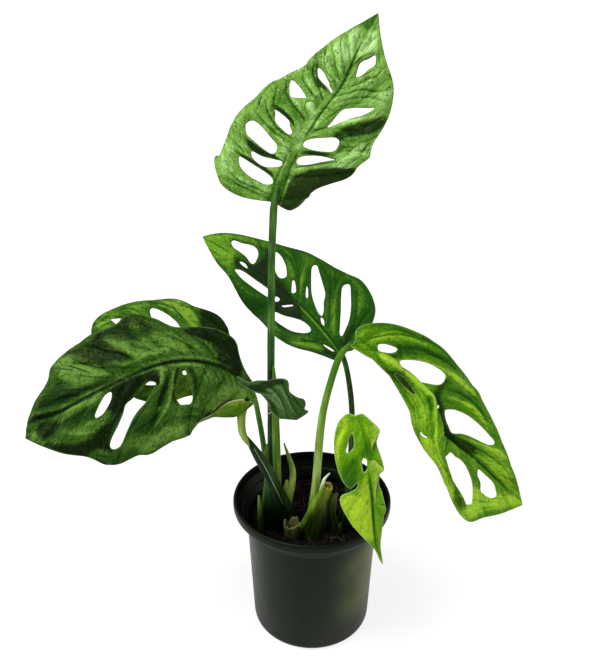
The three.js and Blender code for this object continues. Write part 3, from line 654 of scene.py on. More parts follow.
# Painted shade, here and in deep_shade below: the stems darken low down, inside the pot.
foot = mul(ramp(height, 0.13, 0.085), 0.5)
tone = plus(minus(tone, foot), given["Lean"])
skin = mix(ramp(tone, 0.6, 0.95), given["Dark"], given["Mid"])
skin = mix(ramp(tone, 0.92, 1.3), skin, given["Light"])
side = calc(streaks, "ABSOLUTE", stored(streaks, "across"))
margin = mul(ramp(side, 0.72, 1.0), given["Edge"])
marked = calc(streaks, "MAXIMUM", margin, mul(stored(streaks, "cut"), plus(fine, 0.4)))
skin = mix(marked, skin, given["Margin"])
deep_shade = mul(ramp(height, 0.122, 0.088), 0.6)
skin = mix(deep_shade, skin, "#10150a", "MULTIPLY")
streaks.links.new(skin, result[0])
streaks.links.new(plus(mul(fine, 0.2), 0.3), result[1])
streaks.links.new(plus(fine, mul(broad, 0.5)), result[2])


def stem_skin(name, dark, mid, light, margin="#aebf86", lean=0.0, edge=0.0, top=None):
    """A stem's material in three greens, a colour for margins and one that its top may turn to."""
    made, tree, shader = new_material(name)
    inputs = dict(zip(greens, (dark, mid, light, margin)), Lean=lean, Edge=edge)
    skin = add(tree, "ShaderNodeGroup", inputs, node_tree=streaks)
    colour = skin.outputs[0]
    if top:
        apart = add(tree, "ShaderNodeSeparateXYZ", {0: at(tree)})
        high = rise(tree, apart.outputs[2], 0.16, 0.23)
        colour = blend(tree, high, colour, blend(tree, 1.0, colour, top, "MULTIPLY"))
    wire(tree, shader, colour, skin.outputs[1], skin.outputs[2], 0.00012, gleam=0.12)
    return made


stalk_skin = stem_skin("stalk_skin", "#0c2402", "#1a4006", "#4a7a22")
pale_skin = stem_skin("pale_stalk_skin", "#3c6808", "#80aa2e", "#b8d078", lean=0.1, top="#7ca448")
dark_skin = stem_skin("dark_stalk_skin", "#0f1f07", "#1f3a10", "#3f6026")
light_skin = stem_skin("light_stalk_skin", "#45681c", "#7a9838", "#b4c680", lean=0.02)
top_skin = stem_skin("top_stalk_skin", "#0d2403", "#1a400a", "#4c7a2a", lean=0.04)
mid_skin = stem_skin("mid_stalk_skin", "#1f440c", "#3d7220", "#69983f")

PETIOLES = {
    "petiole_top": (top_skin, [
        [-29, -10, 220, 2.6, 2.3], [-28.4, -9, 254, 2.6, 2.3], [-27.4, -6, 302, 2.4, 2.2],
        [-26, -4, 332, 2.6, 2.3], [-25, -4.4, 341, 2.2, 1.9], [-22.6, -5.2, 349, 1.6, 1.2],
        [-19.4, -5.6, 358, 0.8, 0.6], [-17, -5.4, 364, 0.2, 0.2],
    ]),
    "petiole_upper": (dark_skin, [
        [22, -17, 92, 2.2, 2.2], [26, -15, 126, 2.2, 2.2], [28, -12, 161, 2.1, 2.1], [28, -7, 190, 2.1, 2.1],
        [25.6, 1, 210, 2, 2], [22, 7, 224, 1.9, 1.9], [17.5, 8.6, 232, 1.4, 1.4],
    ]),
    "petiole_right": (pale_skin, [
        [-1, -14, 100, 3.2, 3], [3, -14, 134, 3.1, 3], [5, -14, 168, 3, 2.8], [7.4, -13, 192, 2.7, 2.6],
        [12, -12, 214, 2.5, 2.3], [18.4, -10.5, 235, 2.4, 2.2], [27, -8.2, 244.4, 1.7, 1.5],
    ]),
    "petiole_left": (light_skin, [
        [-42.8, -28, 172.6, 0.8, 0.8], [-45.6, -28.2, 177.6, 1.9, 1.8], [-48, -27.8, 183, 2.6, 2.2],
        [-48.9, -27, 189, 2.8, 2.4], [-48.9, -25.6, 196, 3.1, 2.2], [-48.4, -24.6, 200, 3.4, 1.8],
        [-47.4, -23.6, 205, 2.4, 1.2], [-46, -22.6, 209, 1, 0.8],
    ]),
    "petiole_front": (dark_skin, [
        [23, -21, 94, 2.2, 2.2], [26.4, -26, 133, 1.9, 1.9], [28.2, -33, 173, 1.6, 1.6],
        [28, -40, 198, 1.6, 1.6], [28.6, -43.6, 206.4, 1.3, 1.3], [30, -45, 208, 0.7, 0.7],
    ]),
    "petiole_back": (mid_skin, [
        [-33, -11, 138, 2.2, 2.1], [-36, -4, 161, 2, 2], [-39.6, 4, 179, 2, 2], [-43, 10, 192, 1.8, 1.8],
        [-47, 12.2, 198.6, 1.4, 1.4],
    ]),
}
for name, (finish, stations) in PETIOLES.items():
    placed(stalk(name + "_stalk", stations, finish), "stalk_green", name)

# ---- left crown ----
# The thick foot of the top leaf's stalk, with a yellow-green sheath up its right side. The
# left leaf's stalk crosses in front of it in a dark winged sheath with a pale margin.
# The foot's skin is a darker copy of the stalk skin: painted shade where the foot stands low in the pot.
shaded_foot_skin = stem_skin("shaded_foot_skin", "#081a02", "#16340a", "#3f6c20")
bright_sheath = stem_skin("bright_sheath", "#2c5408", "#4a7416", "#7fa438", "#8aa850", edge=0.3)
dark_sheath = stem_skin("dark_sheath", "#061002", "#0e2007", "#2a421c", "#3a5030", edge=0.2)
wing_sheath = stem_skin("wing_sheath", "#081803", "#142e0a", "#30521e", "#3a5a2a", edge=0.2)
olive_shoot = stem_skin("olive_shoot", "#3c5412", "#6d8c2c", "#a0b650", "#c4cf8a", edge=0.8, lean=0.1)
# The pale line paints the crossing sheath's margin, and on the torn lobe a highlight.
pale_line_and_highlight = stem_skin("pale_margin_and_highlight", "#66744a", "#8c9c70", "#b4bf9a")
bud_skin = stem_skin("bud_skin", "#2c480c", "#567a20", "#8a9a40", "#6a4422", edge=0.6)
parts = [
    stalk("foot", [
        [-32.4, -14, 86, 8, 6.2], [-31.6, -14, 108, 7.2, 5.2], [-29.4, -13.4, 132, 6, 4.6],
        [-28.4, -12.4, 156, 4.4, 4], [-28.2, -11.6, 184, 3.8, 3.5], [-28.6, -11, 206, 3.2, 3],
        [-28.8, -10, 226, 2.7, 2.5],
    ], shaded_foot_skin),
    sheath("long_sheath", [
        [-25.6, -16.6, 112, 1.6, 1.4], [-25.2, -17, 128, 2.4, 1.8], [-25.4, -16.4, 147, 2.6, 2],
        [-25.8, -15.2, 168, 2.6, 2], [-26.2, -14, 191, 2.3, 1.8], [-26.6, -12.8, 214, 1.5, 1.2],
        [-27, -12, 228, 0.3, 0.3],
    ], bright_sheath),
    stalk("crossing_sheath", [
        [-45.6, -27.4, 180.6, 0.9, 0.9], [-44, -27.4, 176.6, 1.8, 1.8], [-41.5, -27, 171, 2.6, 2.1],
        [-37.2, -25.5, 159.5, 2.9, 2.3], [-32.4, -23.4, 147.5, 2.9, 2.3], [-27.5, -21.4, 134, 3, 2.5],
        [-24, -19.5, 118, 4.6, 3.4], [-23, -18, 100, 5.4, 4], [-23, -17, 86, 5.6, 4.4],
    ], dark_sheath),
    sheath("crossing_wing", [
        [-43, -27.4, 178, 0.3, 0.2], [-39, -27.4, 171, 1.1, 0.8], [-35, -26.8, 163.6, 1.7, 1],
        [-31, -25.8, 154.6, 2.1, 1.2], [-26.6, -24, 142, 2.5, 1.4], [-22, -22, 129, 2.7, 1.5],
        [-17.6, -20, 117, 2.5, 1.4], [-15, -18.6, 104, 2, 1], [-14, -18, 88, 1.6, 0.6],
    ], wing_sheath),
    stalk("margin_line", [
        [-43, -28.6, 177, 0.15, 0.15], [-37.6, -28.6, 165.6, 0.25, 0.25], [-32.8, -27.8, 154.6, 0.25, 0.25],
        [-28.6, -26.2, 142.6, 0.25, 0.25], [-24.6, -24.4, 131, 0.2, 0.2], [-20.8, -22.6, 119, 0.1, 0.1],
    ], pale_line_and_highlight),
    sheath("bud", [
        [-33.6, -17, 146, 1.8, 1], [-33, -17, 157, 1.7, 1], [-32.4, -16.6, 167.6, 0.4, 0.2],
    ], bud_skin),
    sheath("outer_sheath", [
        [-37.6, -21, 86, 2.2, 1.4], [-37.8, -22, 106, 1.9, 1.3], [-38.2, -22, 118, 1.3, 0.9],
        [-38.6, -22, 127, 0.4, 0.2],
    ], bud_skin),
    sheath("kinked_shoot", [
        [-19, -15, 96, 2.4, 1.6], [-17.4, -14.4, 116, 2.4, 1.7], [-15.4, -13, 127, 2.4, 1.6],
        [-14, -11, 136, 1.9, 1.3], [-14.8, -9, 144, 1.6, 1.1], [-17.6, -8, 153, 1, 0.8],
        [-20.5, -8, 163, 0.25, 0.2],
    ], olive_shoot),
    sheath("shoot_scale", [
        [-18, -15, 114, 1.6, 1], [-19.4, -14.6, 127, 1.8, 1], [-18.4, -14, 135, 0.6, 0.4],
    ], olive_shoot),
]
placed(gathered("crown_left_stems", parts), "sheath_green", "crown_left")

# ---- cut stub ----
# Two old stalks were cut off above the soil and have dried open: a short ragged stump and a
# long slanting one, split into a bright strip and a dull one, with a white leaf tip inside.
stump_skin = stem_skin("dried_stump", "#4c5a24", "#8f9c54", "#c8d094", "#7a7c44", lean=0.2)
stub_skin = stem_skin("yellowed_stub", "#3a5410", "#748c28", "#a0ae44", "#9c9434", lean=0.05)
bright_strip = stem_skin("bright_strip", "#3a5a0c", "#64881c", "#94ac40", "#a8b858", edge=0.3, lean=0.0)
dull_strip = stem_skin("dull_strip", "#2a3a14", "#506430", "#7c8c50", "#8c9862", edge=0.3)
white_tip = stem_skin("white_leaf_tip", "#7c9a48", "#c4d49a", "#e8eecc", "#eef2d8", lean=0.2, edge=0.6)
parts = [
    hollow("stump", [
        [-14.4, -24, 86, 5, 4.4], [-14.4, -25, 95, 5.4, 4.6], [-14.2, -25.6, 104.5, 6.4, 5.2],
    ], stump_skin, 1.1, 8, 5.5, 2),
    hollow("stub", [
        [-2.4, -21.5, 86, 6.2, 5.6], [-0.4, -21.6, 97, 5.6, 5], [2.8, -21.6, 110, 4.7, 4.3],
        [7, -21.6, 123, 4.5, 4], [11.4, -21.8, 136, 4.4, 3.8],
    ], stub_skin, 1.1, 9, 2.4, 5),
    sheath("bright_strip", [
        [-8.6, -26.4, 98, 1.6, 1], [-5.4, -27.4, 106, 2.4, 1.6], [-1.4, -27, 115, 2.4, 1.6],
        [2.8, -26.4, 125, 2.2, 1.4], [6.6, -25.8, 133, 1.6, 1], [8.6, -25.4, 138, 0.4, 0.3],
    ], bright_strip),
    sheath("dull_strip", [
        [4.4, -24.6, 86, 4.4, 2.4], [5.4, -25, 98, 3.8, 2.2], [7.4, -25, 110, 2.8, 1.8],
        [9.4, -24.8, 121, 1.4, 1], [10.4, -24.4, 128, 0.4, 0.3],
    ], dull_strip),
    sheath("leaf_tip", [
        [6.6, -21.6, 131, 1.2, 1], [7.6, -21.8, 137, 1, 0.8], [9.2, -22, 142.6, 0.7, 0.6],
        [12.6, -22, 147, 0.15, 0.1],
    ], white_tip),
    stalk("right_stalk_foot", [[-3.4, -14, 86, 4, 3.8], [-1, -14, 103, 3.2, 3]], stalk_skin),
]
placed(gathered("crown_middle_stems", parts), "cut_stub", "crown_middle")

# ---- right crown ----
# Two old brown-green sheaths stand in a V where the front leaf's stalk leaves the soil.
old_sheath = stem_skin("old_sheath", "#1c2a0a", "#44521c", "#7f8a40", "#99a066", edge=0.7, lean=0.1)
parts = [
    sheath("v_left", [
        [20.4, -21, 86, 2.4, 1.4], [18.4, -21.4, 96, 2.8, 1.6], [15.2, -21, 107, 2.6, 1.6],
        [14.8, -20.4, 118, 2.9, 1.8], [16.4, -20, 128.6, 2.4, 1.4],
    ], old_sheath),
    sheath("v_right", [
        [20, -22.4, 86, 2.6, 1.4], [22, -22, 96, 2.7, 1.6], [25.2, -21.4, 105, 2.5, 1.5],
        [28.4, -20.8, 114, 2.2, 1.3], [30.6, -20.4, 123, 0.5, 0.4],
    ], old_sheath),
    stalk("right_foot", [[21, -18, 86, 4.6, 4.4], [21.6, -18, 99, 3.6, 3.6]], dark_skin),
]
placed(gathered("crown_right_stems", parts), "sheath_green", "crown_right")

# ---- leaf blades ----
# A leaf is one thin blade: a midrib, side veins that sink between puffed fields, long holes
# between the veins, and a thin paler rim. It is laid out flat, then bent along its midrib.
CREASE = 7
VEIN_BOW = 0.45
LATTICE = 1.15
RIB_DEPTH = 1.3
VEIN_DEPTH = 0.35


def outline(leaf, step):
    """Even points round the flat leaf: the right half from the foot to the tip, then the left."""
    halves = []
    for rim in (leaf["rim_right"], leaf["rim_left"]):
        curve, run = through(rim, ends="repeated")
        halves.append(sampled(curve, run, np.linspace(0, run[-1], round(run[-1] / step) + 1)))
    return np.vstack([halves[0][:-1], halves[1][:0:-1], halves[1][:1]])


def ringed(points, step=0.9):
    """Even points round a smooth closed loop, as round a hole or a patch of colour."""
    curve, run = through(points + points[:2], ends="closed")
    return sampled(curve, run, np.linspace(0, run[-1], max(10, round(run[-1] / step)), endpoint=False))


def within(loop, flat):
    """Which points lie inside a closed loop."""
    x, y = flat[:, :1], flat[:, 1:]
    a, b = loop, np.roll(loop, -1, axis=0)
    height = np.where(a[:, 1] == b[:, 1], 1e-9, b[:, 1] - a[:, 1])
    left = x < (b[:, 0] - a[:, 0]) * (y - a[:, 1]) / height + a[:, 0]
    return (((a[:, 1] > y) != (b[:, 1] > y)) & left).sum(axis=1) % 2 == 1


def nearest(flat, others):
    """Distance from each point to the nearest of the others."""
    return np.sqrt([np.min(((others - p) ** 2).sum(axis=1)) for p in flat])


def smooth(values, low, high):
    t = np.clip((values - low) / (high - low), 0, 1)
    return t * t * (3 - 2 * t)


def vein_at(veins, out):
    """Where each vein [start, end, reach] is along the leaf, at a distance out."""
    veins = np.array(veins, float)
    share = out[:, None] / veins[:, 2]
    return veins[:, 0] + (veins[:, 1] - veins[:, 0]) * ((1 - VEIN_BOW) * share + VEIN_BOW * share**2)


def random_field(places, seed):
    """Soft random heights between -1 and 1 at places one unit apart or more."""
    return np.array([noise.noise(Vector((x, y, seed))) for x, y in places])


def vein_fields(leaf, flat):
    """Signed distance to the nearest side vein, the field between veins, and its width."""
    sway = 1.3 * random_field(flat * 0.06, leaf["seed"] + 5) + 0.5 * random_field(flat * 0.21, leaf["seed"])
    flat = flat + np.column_stack([sway * smooth(np.abs(flat[:, 1]), 1, 8), np.zeros(len(flat))])
    lateral, field, spacing = np.zeros((3, len(flat)))
    for half, chosen in (("veins_right", flat[:, 1] >= 0), ("veins_left", flat[:, 1] < 0)):
        along, out = flat[chosen, 0], np.abs(flat[chosen, 1])
        at = np.maximum.accumulate(vein_at(leaf[half], out), axis=1)
        rows = np.arange(len(at))
        closest = np.argmin(np.abs(at - along[:, None]), axis=1)
        lateral[chosen] = along - at[rows, closest]
        at = np.hstack([at[:, :1] - 13, at, at[:, -1:] + 13])
        cell = np.clip((at < along[:, None]).sum(axis=1) - 1, 0, at.shape[1] - 2)
        low, high = at[rows, cell], at[rows, cell + 1]
        field[chosen] = cell + np.clip((along - low) / np.maximum(high - low, 0.5), 0, 1)
        spacing[chosen] = high - low
    return lateral, field, spacing


def traced(points):
    """Even points along a fold drawn on the flat leaf, and the way to its left at each."""
    curve, run = through(points, ends="repeated")
    line = sampled(curve, run, np.linspace(0, run[-1], max(4, round(run[-1]))))
    along = unit(np.gradient(line, axis=0))
    return line, np.column_stack([-along[:, 1], along[:, 0]])


def fold_marks(flat, folds):
    """Tone, height and shade of folds (darkness, width, points), both in tenths: furrow and ridge, with
    painted shade along the furrow and a painted highlight on the ridge.
    """
    tone, height, shade = np.zeros((3, len(flat)))
    for tenths, width, *points in folds:
        amount, width = tenths / 10, width / 10
        line, beside = traced(points)
        gaps = flat[:, None] - line[None]
        at = np.argmin((gaps**2).sum(axis=2), axis=1)
        near = gaps[np.arange(len(flat)), at]
        gap = np.linalg.norm(near, axis=1)
        side = (near * beside[at]).sum(axis=1)
        fade = np.sqrt(np.clip(np.sin(math.pi * np.clip(at / (len(line) - 1), 0.03, 0.97)), 0, 1))
        furrow = np.exp(-((gap / width) ** 2)) * fade
        ridge = np.exp(-(((gap - 1.9 * width) / width) ** 2)) * fade * (side > 0)
        tone += 1.4 * (0.4 * abs(amount) * ridge - amount * furrow)
        height += 0.3 * (abs(amount) * ridge - amount * furrow)
        shade += np.clip(1.3 * amount - 0.6, 0, 1.3) * furrow
    return tone, height, shade


def on_blade(loops, flat):
    """Which points lie inside the outline and in none of the holes."""
    inside = within(loops[0], flat)
    for loop in loops[1:]:
        inside &= ~within(loop, flat)
    return inside


def flat_blade(leaf):
    """Points and triangles of the flat leaf, in millimetres."""
    loops = [outline(leaf, 1.0)] + [ringed(hole) for hole in leaf["holes"]]
    edges, start = [], 0
    for loop in loops:
        n = len(loop)
        edges += [(start + i, start + (i + 1) % n) for i in range(n)]
        start += n
    rim = np.vstack(loops)
    length = leaf["rim_right"][-2]
    lines = [[(x, y) for x in np.arange(1, length, 1.1) for y in (0, 0.8, -0.8, 1.9, -1.9)]]
    for half, side in (("veins_right", 1), ("veins_left", -1)):
        out = np.arange(3, 60, 1.0)
        at = vein_at(leaf[half], out)
        for k, (_, _, reach) in enumerate(leaf[half]):
            lines.append([(x, side * d) for x, d in zip(at[:, k], out) if d < reach + 4])
    for line, beside in (traced(points) for _, _, *points in leaf["folds"]):
        lines += [line.tolist(), (line + 0.8 * beside).tolist(), (line - 0.8 * beside).tolist()]
    fixed = np.array([p for line in lines for p in line])
    low, high = rim.min(axis=0), rim.max(axis=0)
    rows = np.arange(low[1], high[1], LATTICE * 0.87)
    lattice = [
        (x, y)
        for i, y in enumerate(rows)
        for x in np.arange(low[0] + (i % 2) * LATTICE / 2, high[0], LATTICE)
    ]
    lattice = np.array(lattice)
    lattice = lattice[nearest(lattice, fixed) > 0.75]
    inner = np.vstack([fixed, lattice])
    inner = inner[on_blade(loops, inner) & (nearest(inner, rim) > 0.55)]
    coords = [Vector(p) for p in np.vstack([rim, inner])]
    points, _, faces, _, _, _ = delaunay_2d_cdt(coords, edges, [], 0, 1e-5)
    points = np.array([tuple(p) for p in points])
    faces = np.array(faces)
    faces = faces[on_blade(loops, points[faces].mean(axis=1))]
    used, faces = np.unique(faces, return_inverse=True)
    return points[used], faces.reshape(-1, 3), loops


def lay(leaf, flat):
    """Points in space of points (along, out) of the flat leaf."""
    curve, run = through(leaf["midrib"], dense=60)
    along, out = flat.T
    inside = np.clip(along, 0, run[-1])
    centre = sampled(curve, run, inside)
    tangent = unit(sampled(np.gradient(curve, axis=0), run, inside))
    up = unit(np.array(leaf["up"], float))
    normal = unit(up - (tangent @ up)[:, None] * tangent)
    side = np.cross(tangent, normal)
    across, lift = np.zeros((2, len(flat)))
    distance = np.abs(out)
    for half, chosen in (("right", out >= 0), ("left", out < 0)):
        table = np.array(leaf[half], float)
        fold, bend, crease, turn = (np.interp(along, table[:, 0], table[:, k]) for k in (1, 2, 3, 4))
        steps = 24
        for i in range(steps):
            at = (i + 0.5) / steps * distance
            turned_by = turn * smooth(at, crease - CREASE / 2, crease + CREASE / 2)
            angle = np.radians(fold + bend * at / 40 + turned_by)
            across += np.where(chosen, np.sign(out) * np.cos(angle) * distance / steps, 0)
            lift += np.where(chosen, np.sin(angle) * distance / steps, 0)
    past = (along - inside)[:, None] * tangent
    return centre + past + across[:, None] * side + lift[:, None] * normal


def strokes(flat, marks):
    """Lightening and darkening by soft strokes [x, y, to x, to y, radius, amount]: mostly painted light and
    shade.
    """
    total = np.zeros(len(flat))
    for x0, y0, x1, y1, radius, amount in marks:
        line = np.array([x1 - x0, y1 - y0], float)
        share = np.clip(((flat - (x0, y0)) @ line) / max(line @ line, 1e-6), 0, 1)
        gap = np.linalg.norm(flat - (x0, y0) - share[:, None] * line, axis=1)
        total += amount * np.exp(-((gap / radius) ** 2))
    return total


def patched(flat, patches):
    """Lightening and darkening by patches (amount, softness, loop) with a clear edge: mostly painted light
    and shade.
    """
    total = np.zeros(len(flat))
    for amount, softness, *loop in patches:
        ring = ringed(loop, 0.7)
        inside = np.where(within(ring, flat), 1, -1) * nearest(flat, ring)
        total += amount * smooth(inside, -softness, softness)
    return total


def relief(leaf, flat, edge, hole_gap):
    """Height of the blade above its smooth surface: puffed fields, sunk veins, waves, rib."""
    lateral, field, spacing = vein_fields(leaf, flat)
    distance = np.abs(flat[:, 1])
    share = field % 1
    length = leaf["rim_right"][-2]
    calm = smooth(distance, 1, 7) * (0.3 + 0.7 * smooth(edge, 0, 6))
    puff = (1 - np.abs(2 * share - 1) ** 2.2) * np.clip(spacing / 12, 0.3, 1.25) * calm
    sink = np.exp(-((lateral / 0.8) ** 2)) * smooth(distance, 1, 4)
    lift = leaf["quilt"] * (puff - 0.3) - 0.2 * sink
    ripple, every, shift = leaf["wave"]
    phase = 2 * math.pi * flat[:, 0] / every + shift + 2 * (flat[:, 1] < 0)
    lift += ripple * np.sin(phase) * (distance / 30) ** 2
    lift += leaf["rough"] * random_field(flat * 0.11, leaf["seed"]) * calm
    drawn = np.column_stack([field * 4.1, distance * 0.11])
    lift += leaf["crinkle"] * random_field(drawn, leaf["seed"] + 20) * calm
    lift -= 0.5 * np.exp(-((hole_gap / 2.0) ** 2))
    lift += leaf["rib"] * np.exp(-((distance / 1.3) ** 2)) * np.clip(1 - flat[:, 0] / length, 0, 1)
    return lift, lateral, field, puff - 0.5


def blade_mesh(name, leaf, finish, thick=0.7):
    """A leaf blade of even thickness with a rounded rim, and what its skin needs to know."""
    flat, faces, loops = flat_blade(leaf)
    faces = faces[:, ::-1]
    a, b = flat[faces[:, 1]] - flat[faces[:, 0]], flat[faces[:, 2]] - flat[faces[:, 0]]
    area = a[:, 0] * b[:, 1] - a[:, 1] * b[:, 0]
    faces[area > 0] = faces[area > 0][:, ::-1]
    edge = nearest(flat, np.vstack(loops))
    hole_gap = nearest(flat, np.vstack(loops[1:])) if len(loops) > 1 else np.full(len(flat), 99.0)
    lift, lateral, field, crest = relief(leaf, flat, edge, hole_gap)
    fold_tone, fold_lift, fold_shade = fold_marks(flat, leaf["folds"])
    lift += fold_lift * smooth(edge, 0, 2)
    base = lay(leaf, flat)
    centre = base + facing(base, faces) * lift[:, None]
    distance = np.abs(flat[:, 1])
    taper = np.clip(1 - flat[:, 0] / leaf["rim_right"][-2], 0, 1)
    under_rib = RIB_DEPTH * np.exp(-((distance / 1.5) ** 2)) * taper * (flat[:, 0] > -2)
    under_vein = VEIN_DEPTH * np.exp(-((lateral / 0.6) ** 2)) * smooth(edge, 1, 4)
    half = thick / 2 * (0.7 + 0.3 * smooth(edge, 0, 2))
    made, rim = plate(name, finish, centre, faces, half, half + under_rib + under_vein)
    # The tone and shade laid on here are painted light and shade, from the leaf's tables and its folds.
    tone = strokes(flat, leaf["tones"]) + patched(flat, leaf["patches"]) + fold_tone
    shade = patched(flat, leaf["shades"]) + fold_shade
    spot = np.column_stack([flat, np.full(len(flat), leaf["seed"] * 100.0)])
    grain = np.column_stack([field * 3, distance * 0.1, np.full(len(flat), leaf["seed"] * 9.0)])
    dress(made, rim, spot, grain, tone=tone, shade=shade, lateral=lateral, crest=crest, edge=edge)
    return made


def dress(made, rim, spot, grain, **facts):
    """Stores on both faces and the rim of a sheet what its skin needs to know."""
    n = len(spot)
    for label, values in facts.items():
        ends = np.zeros(len(rim)) if label == "edge" else values[rim]
        store(made.data, label, np.concatenate([values, values, ends]))
    store(made.data, "under", np.concatenate([np.zeros(n), np.ones(n), np.full(len(rim), 0.5)]))
    for label, values in (("flat", spot), ("grain", grain)):
        spread = np.vstack([values, values, values[rim]]).ravel()
        made.data.attributes.new(label, "FLOAT_VECTOR", "POINT").data.foreach_set("vector", spread)


def flap(name, finish, hinge, free, bulge, tones, thick=0.5, rows=48, columns=9):
    """A curled strip of leaf between a hinge and a free edge, each a line of points in space."""
    edges = []
    for points in (hinge, free):
        curve, run = through(points, ends="repeated")
        edges.append(sampled(curve, run, np.linspace(0, run[-1], rows)))
    over = np.linspace(0, 1, columns)
    gap = edges[1] - edges[0]
    width = np.linalg.norm(gap, axis=1)
    sheet = edges[0][:, None] + gap[:, None] * over[:, None]
    sheet[:, :, 1] -= bulge * (width / width.max())[:, None] * 4 * over * (1 - over)
    sheet = sheet.reshape(-1, 3)
    faces = woven(rows, columns)
    if facing(sheet, faces)[:, 1].mean() > 0:
        faces = faces[:, ::-1]
    half = np.full(len(sheet), thick / 2)
    made, rim = plate(name, finish, sheet, faces, half, half)
    along, out = np.repeat(np.linspace(0, 40, rows), columns), np.tile(over, rows)
    wide = np.repeat(width, columns)
    spot = np.column_stack([along, out * wide, np.full(len(sheet), 7.0)])
    grain = np.column_stack([out * 2.5, along * 0.12, np.full(len(sheet), 3.0)])
    # Painted shade and light across the strip: darker at the hinge, lighter at the free edge.
    tone = tones[0] + (tones[1] - tones[0]) * out
    calm = np.zeros(len(sheet))
    dress(made, rim, spot, grain, tone=tone, shade=calm, lateral=calm + 9, crest=calm,
          edge=(1 - out) * wide + 0.2)
    return made


# Leaf skin: a green that runs from dark to light with the tone laid on the blade, mottled and
# streaked along the fibres, netted with fine veins, with a paler rim. The tone and the Shade green
# are mostly painted light and shade: Folds, Crease and Crest set how strong the painted fold
# lines, the shade and light beside the veins, and the light on the puffed fields are.
GREENS = ("Shade", "Dark", "Mid", "Light", "Vein")
SHARES = dict(
    Mottle=1.0, Streak=1.0, Folds=0.8, Rim=0.5, Lean=0.0, Crease=0.0, Crest=0.4, Wrinkle=3.0, Under=0.4,
)
sent = {"Color": "Color", "Through": "Color", "Roughness": "Float", "Height": "Float"}
leaf_skin, given, result = new_skin("leaf skin", GREENS, SHARES, sent)
mul, plus, minus, ramp, mix, speck = desk(leaf_skin)
fact = partial(stored, leaf_skin)
flat = fact("flat", 1)
cloud = speck(flat, 0.055, 2)
patch = speck(flat, 0.19, 3, 0.6, 0.6)
fine = speck(flat, 1.1, 3, 0.6)
mottle_and_painted_folds = plus(mul(fine, 0.5), plus(mul(cloud, 0.7), mul(patch, 1.1)))
mottle_and_painted_folds = mul(minus(mottle_and_painted_folds, 1.15), given["Mottle"])
grain = fact("grain", 1)
streak = speck(grain, 1.6, 3, 0.6, 0.3)
thread = speck(grain, 5.5, 2, 0.55, 0.3)
threads = plus(mul(streak, 1.2), mul(thread, 0.8))
mottle_and_painted_folds = plus(mottle_and_painted_folds, mul(minus(threads, 1.0), given["Streak"]))
# Painted fold lines: a thin dark furrow with a painted highlight beside it, where the noise crosses its
# middle.
creased = minus(speck(grain, 2.6, 2, 0.5, 1.2), 0.5)
furrow = mul(ramp(creased, 0.0, 0.018), ramp(creased, 0.06, 0.02))
ridge = mul(ramp(creased, 0.0, -0.02), ramp(creased, -0.08, -0.03))
here = mul(ramp(patch, 0.44, 0.6), given["Folds"])
painted_fold_lines = mul(minus(mul(ridge, 0.5), furrow), here)
mottle_and_painted_folds = plus(mottle_and_painted_folds, painted_fold_lines)
beside = fact("lateral")
# Painted shade on one side of each side vein and painted light on the other.
shady = mul(ramp(beside, 3.0, 0.5), ramp(beside, -0.3, 0.4))
sunny = mul(ramp(beside, -3.0, -0.6), ramp(beside, 0.2, -0.4))
crease = minus(mul(sunny, 0.45), shady)
crease = mul(mul(crease, given["Crease"]), streak)
tone = plus(plus(plus(fact("tone"), given["Lean"]), mottle_and_painted_folds), crease)
drift = add(leaf_skin, "ShaderNodeTexNoise", {"Vector": flat, "Scale": 0.3, "Detail": 1.0}).outputs[1]
warped = {"Vector": vector_sum(leaf_skin, "ADD", flat, times(leaf_skin, drift, 3.0)), "Scale": 0.34}
net = add(leaf_skin, "ShaderNodeTexVoronoi", warped, feature="DISTANCE_TO_EDGE")
inner = ramp(fact("edge"), 1.0, 5.0)
tone = plus(tone, mul(mul(ramp(net, 0.1, 0.0), 0.3), 0.35))
# Painted light on the crests of the puffed fields, painted shade in their hollows.
tone = plus(tone, mul(fact("crest"), given["Crest"]))
green = mix(ramp(tone, -1.0, 0.05), given["Dark"], given["Mid"])
green = mix(ramp(tone, -0.05, 1.0), green, given["Light"])
# Painted shade: the shade laid on the blade turns its green to the Shade colour.
ragged = minus(fact("shade"), mul(mottle_and_painted_folds, 0.3))
ragged = mul(ramp(ragged, 0.06, 0.95), 0.96)
green = mix(ragged, green, given["Shade"])
side_line = mul(ramp(calc(leaf_skin, "ABSOLUTE", beside), 0.7, 0.15), inner)
rim = mul(ramp(fact("edge"), 0.9, 0.0), given["Rim"])
green = mix(rim, green, given["Vein"])
paler = mix(given["Under"], green, "#8fa860")
skin = mix(fact("under"), green, paler)
warm = mix(1.0, skin, "#f2ff7a", "MULTIPLY")
dull = plus(plus(mul(patch, 0.25), 0.27), mul(fact("under"), 0.15))
bumps = minus(ramp(net, 0.0, 0.35), mul(side_line, 0.8))
bumps = plus(plus(bumps, mul(fine, 0.5)), mul(streak, given["Wrinkle"]))
bumps = plus(bumps, mul(painted_fold_lines, 1.5))
for value, socket in zip((skin, warm, dull, bumps), result):
    leaf_skin.links.new(value, socket)


def leaf_finish(name, *greens, glow=0.18, **shares):
    """A leaf's material: its greens, how strong its marks are, how much light it lets through."""
    made, tree, shader = new_material(name)
    inputs = dict(zip(GREENS, greens)) | SHARES | shares
    skin = add(tree, "ShaderNodeGroup", inputs, node_tree=leaf_skin)
    colour, through_light, roughness, height = skin.outputs
    bump = wire(tree, shader, colour, roughness, height, 0.00025, gleam=0.06)
    thin = add(tree, "ShaderNodeBsdfTranslucent", {"Color": through_light, "Normal": bump})
    both = add(tree, "ShaderNodeMixShader", {0: glow, 1: shader, 2: thin})
    feed(tree, tree.nodes["Material Output"], {0: both})
    return made


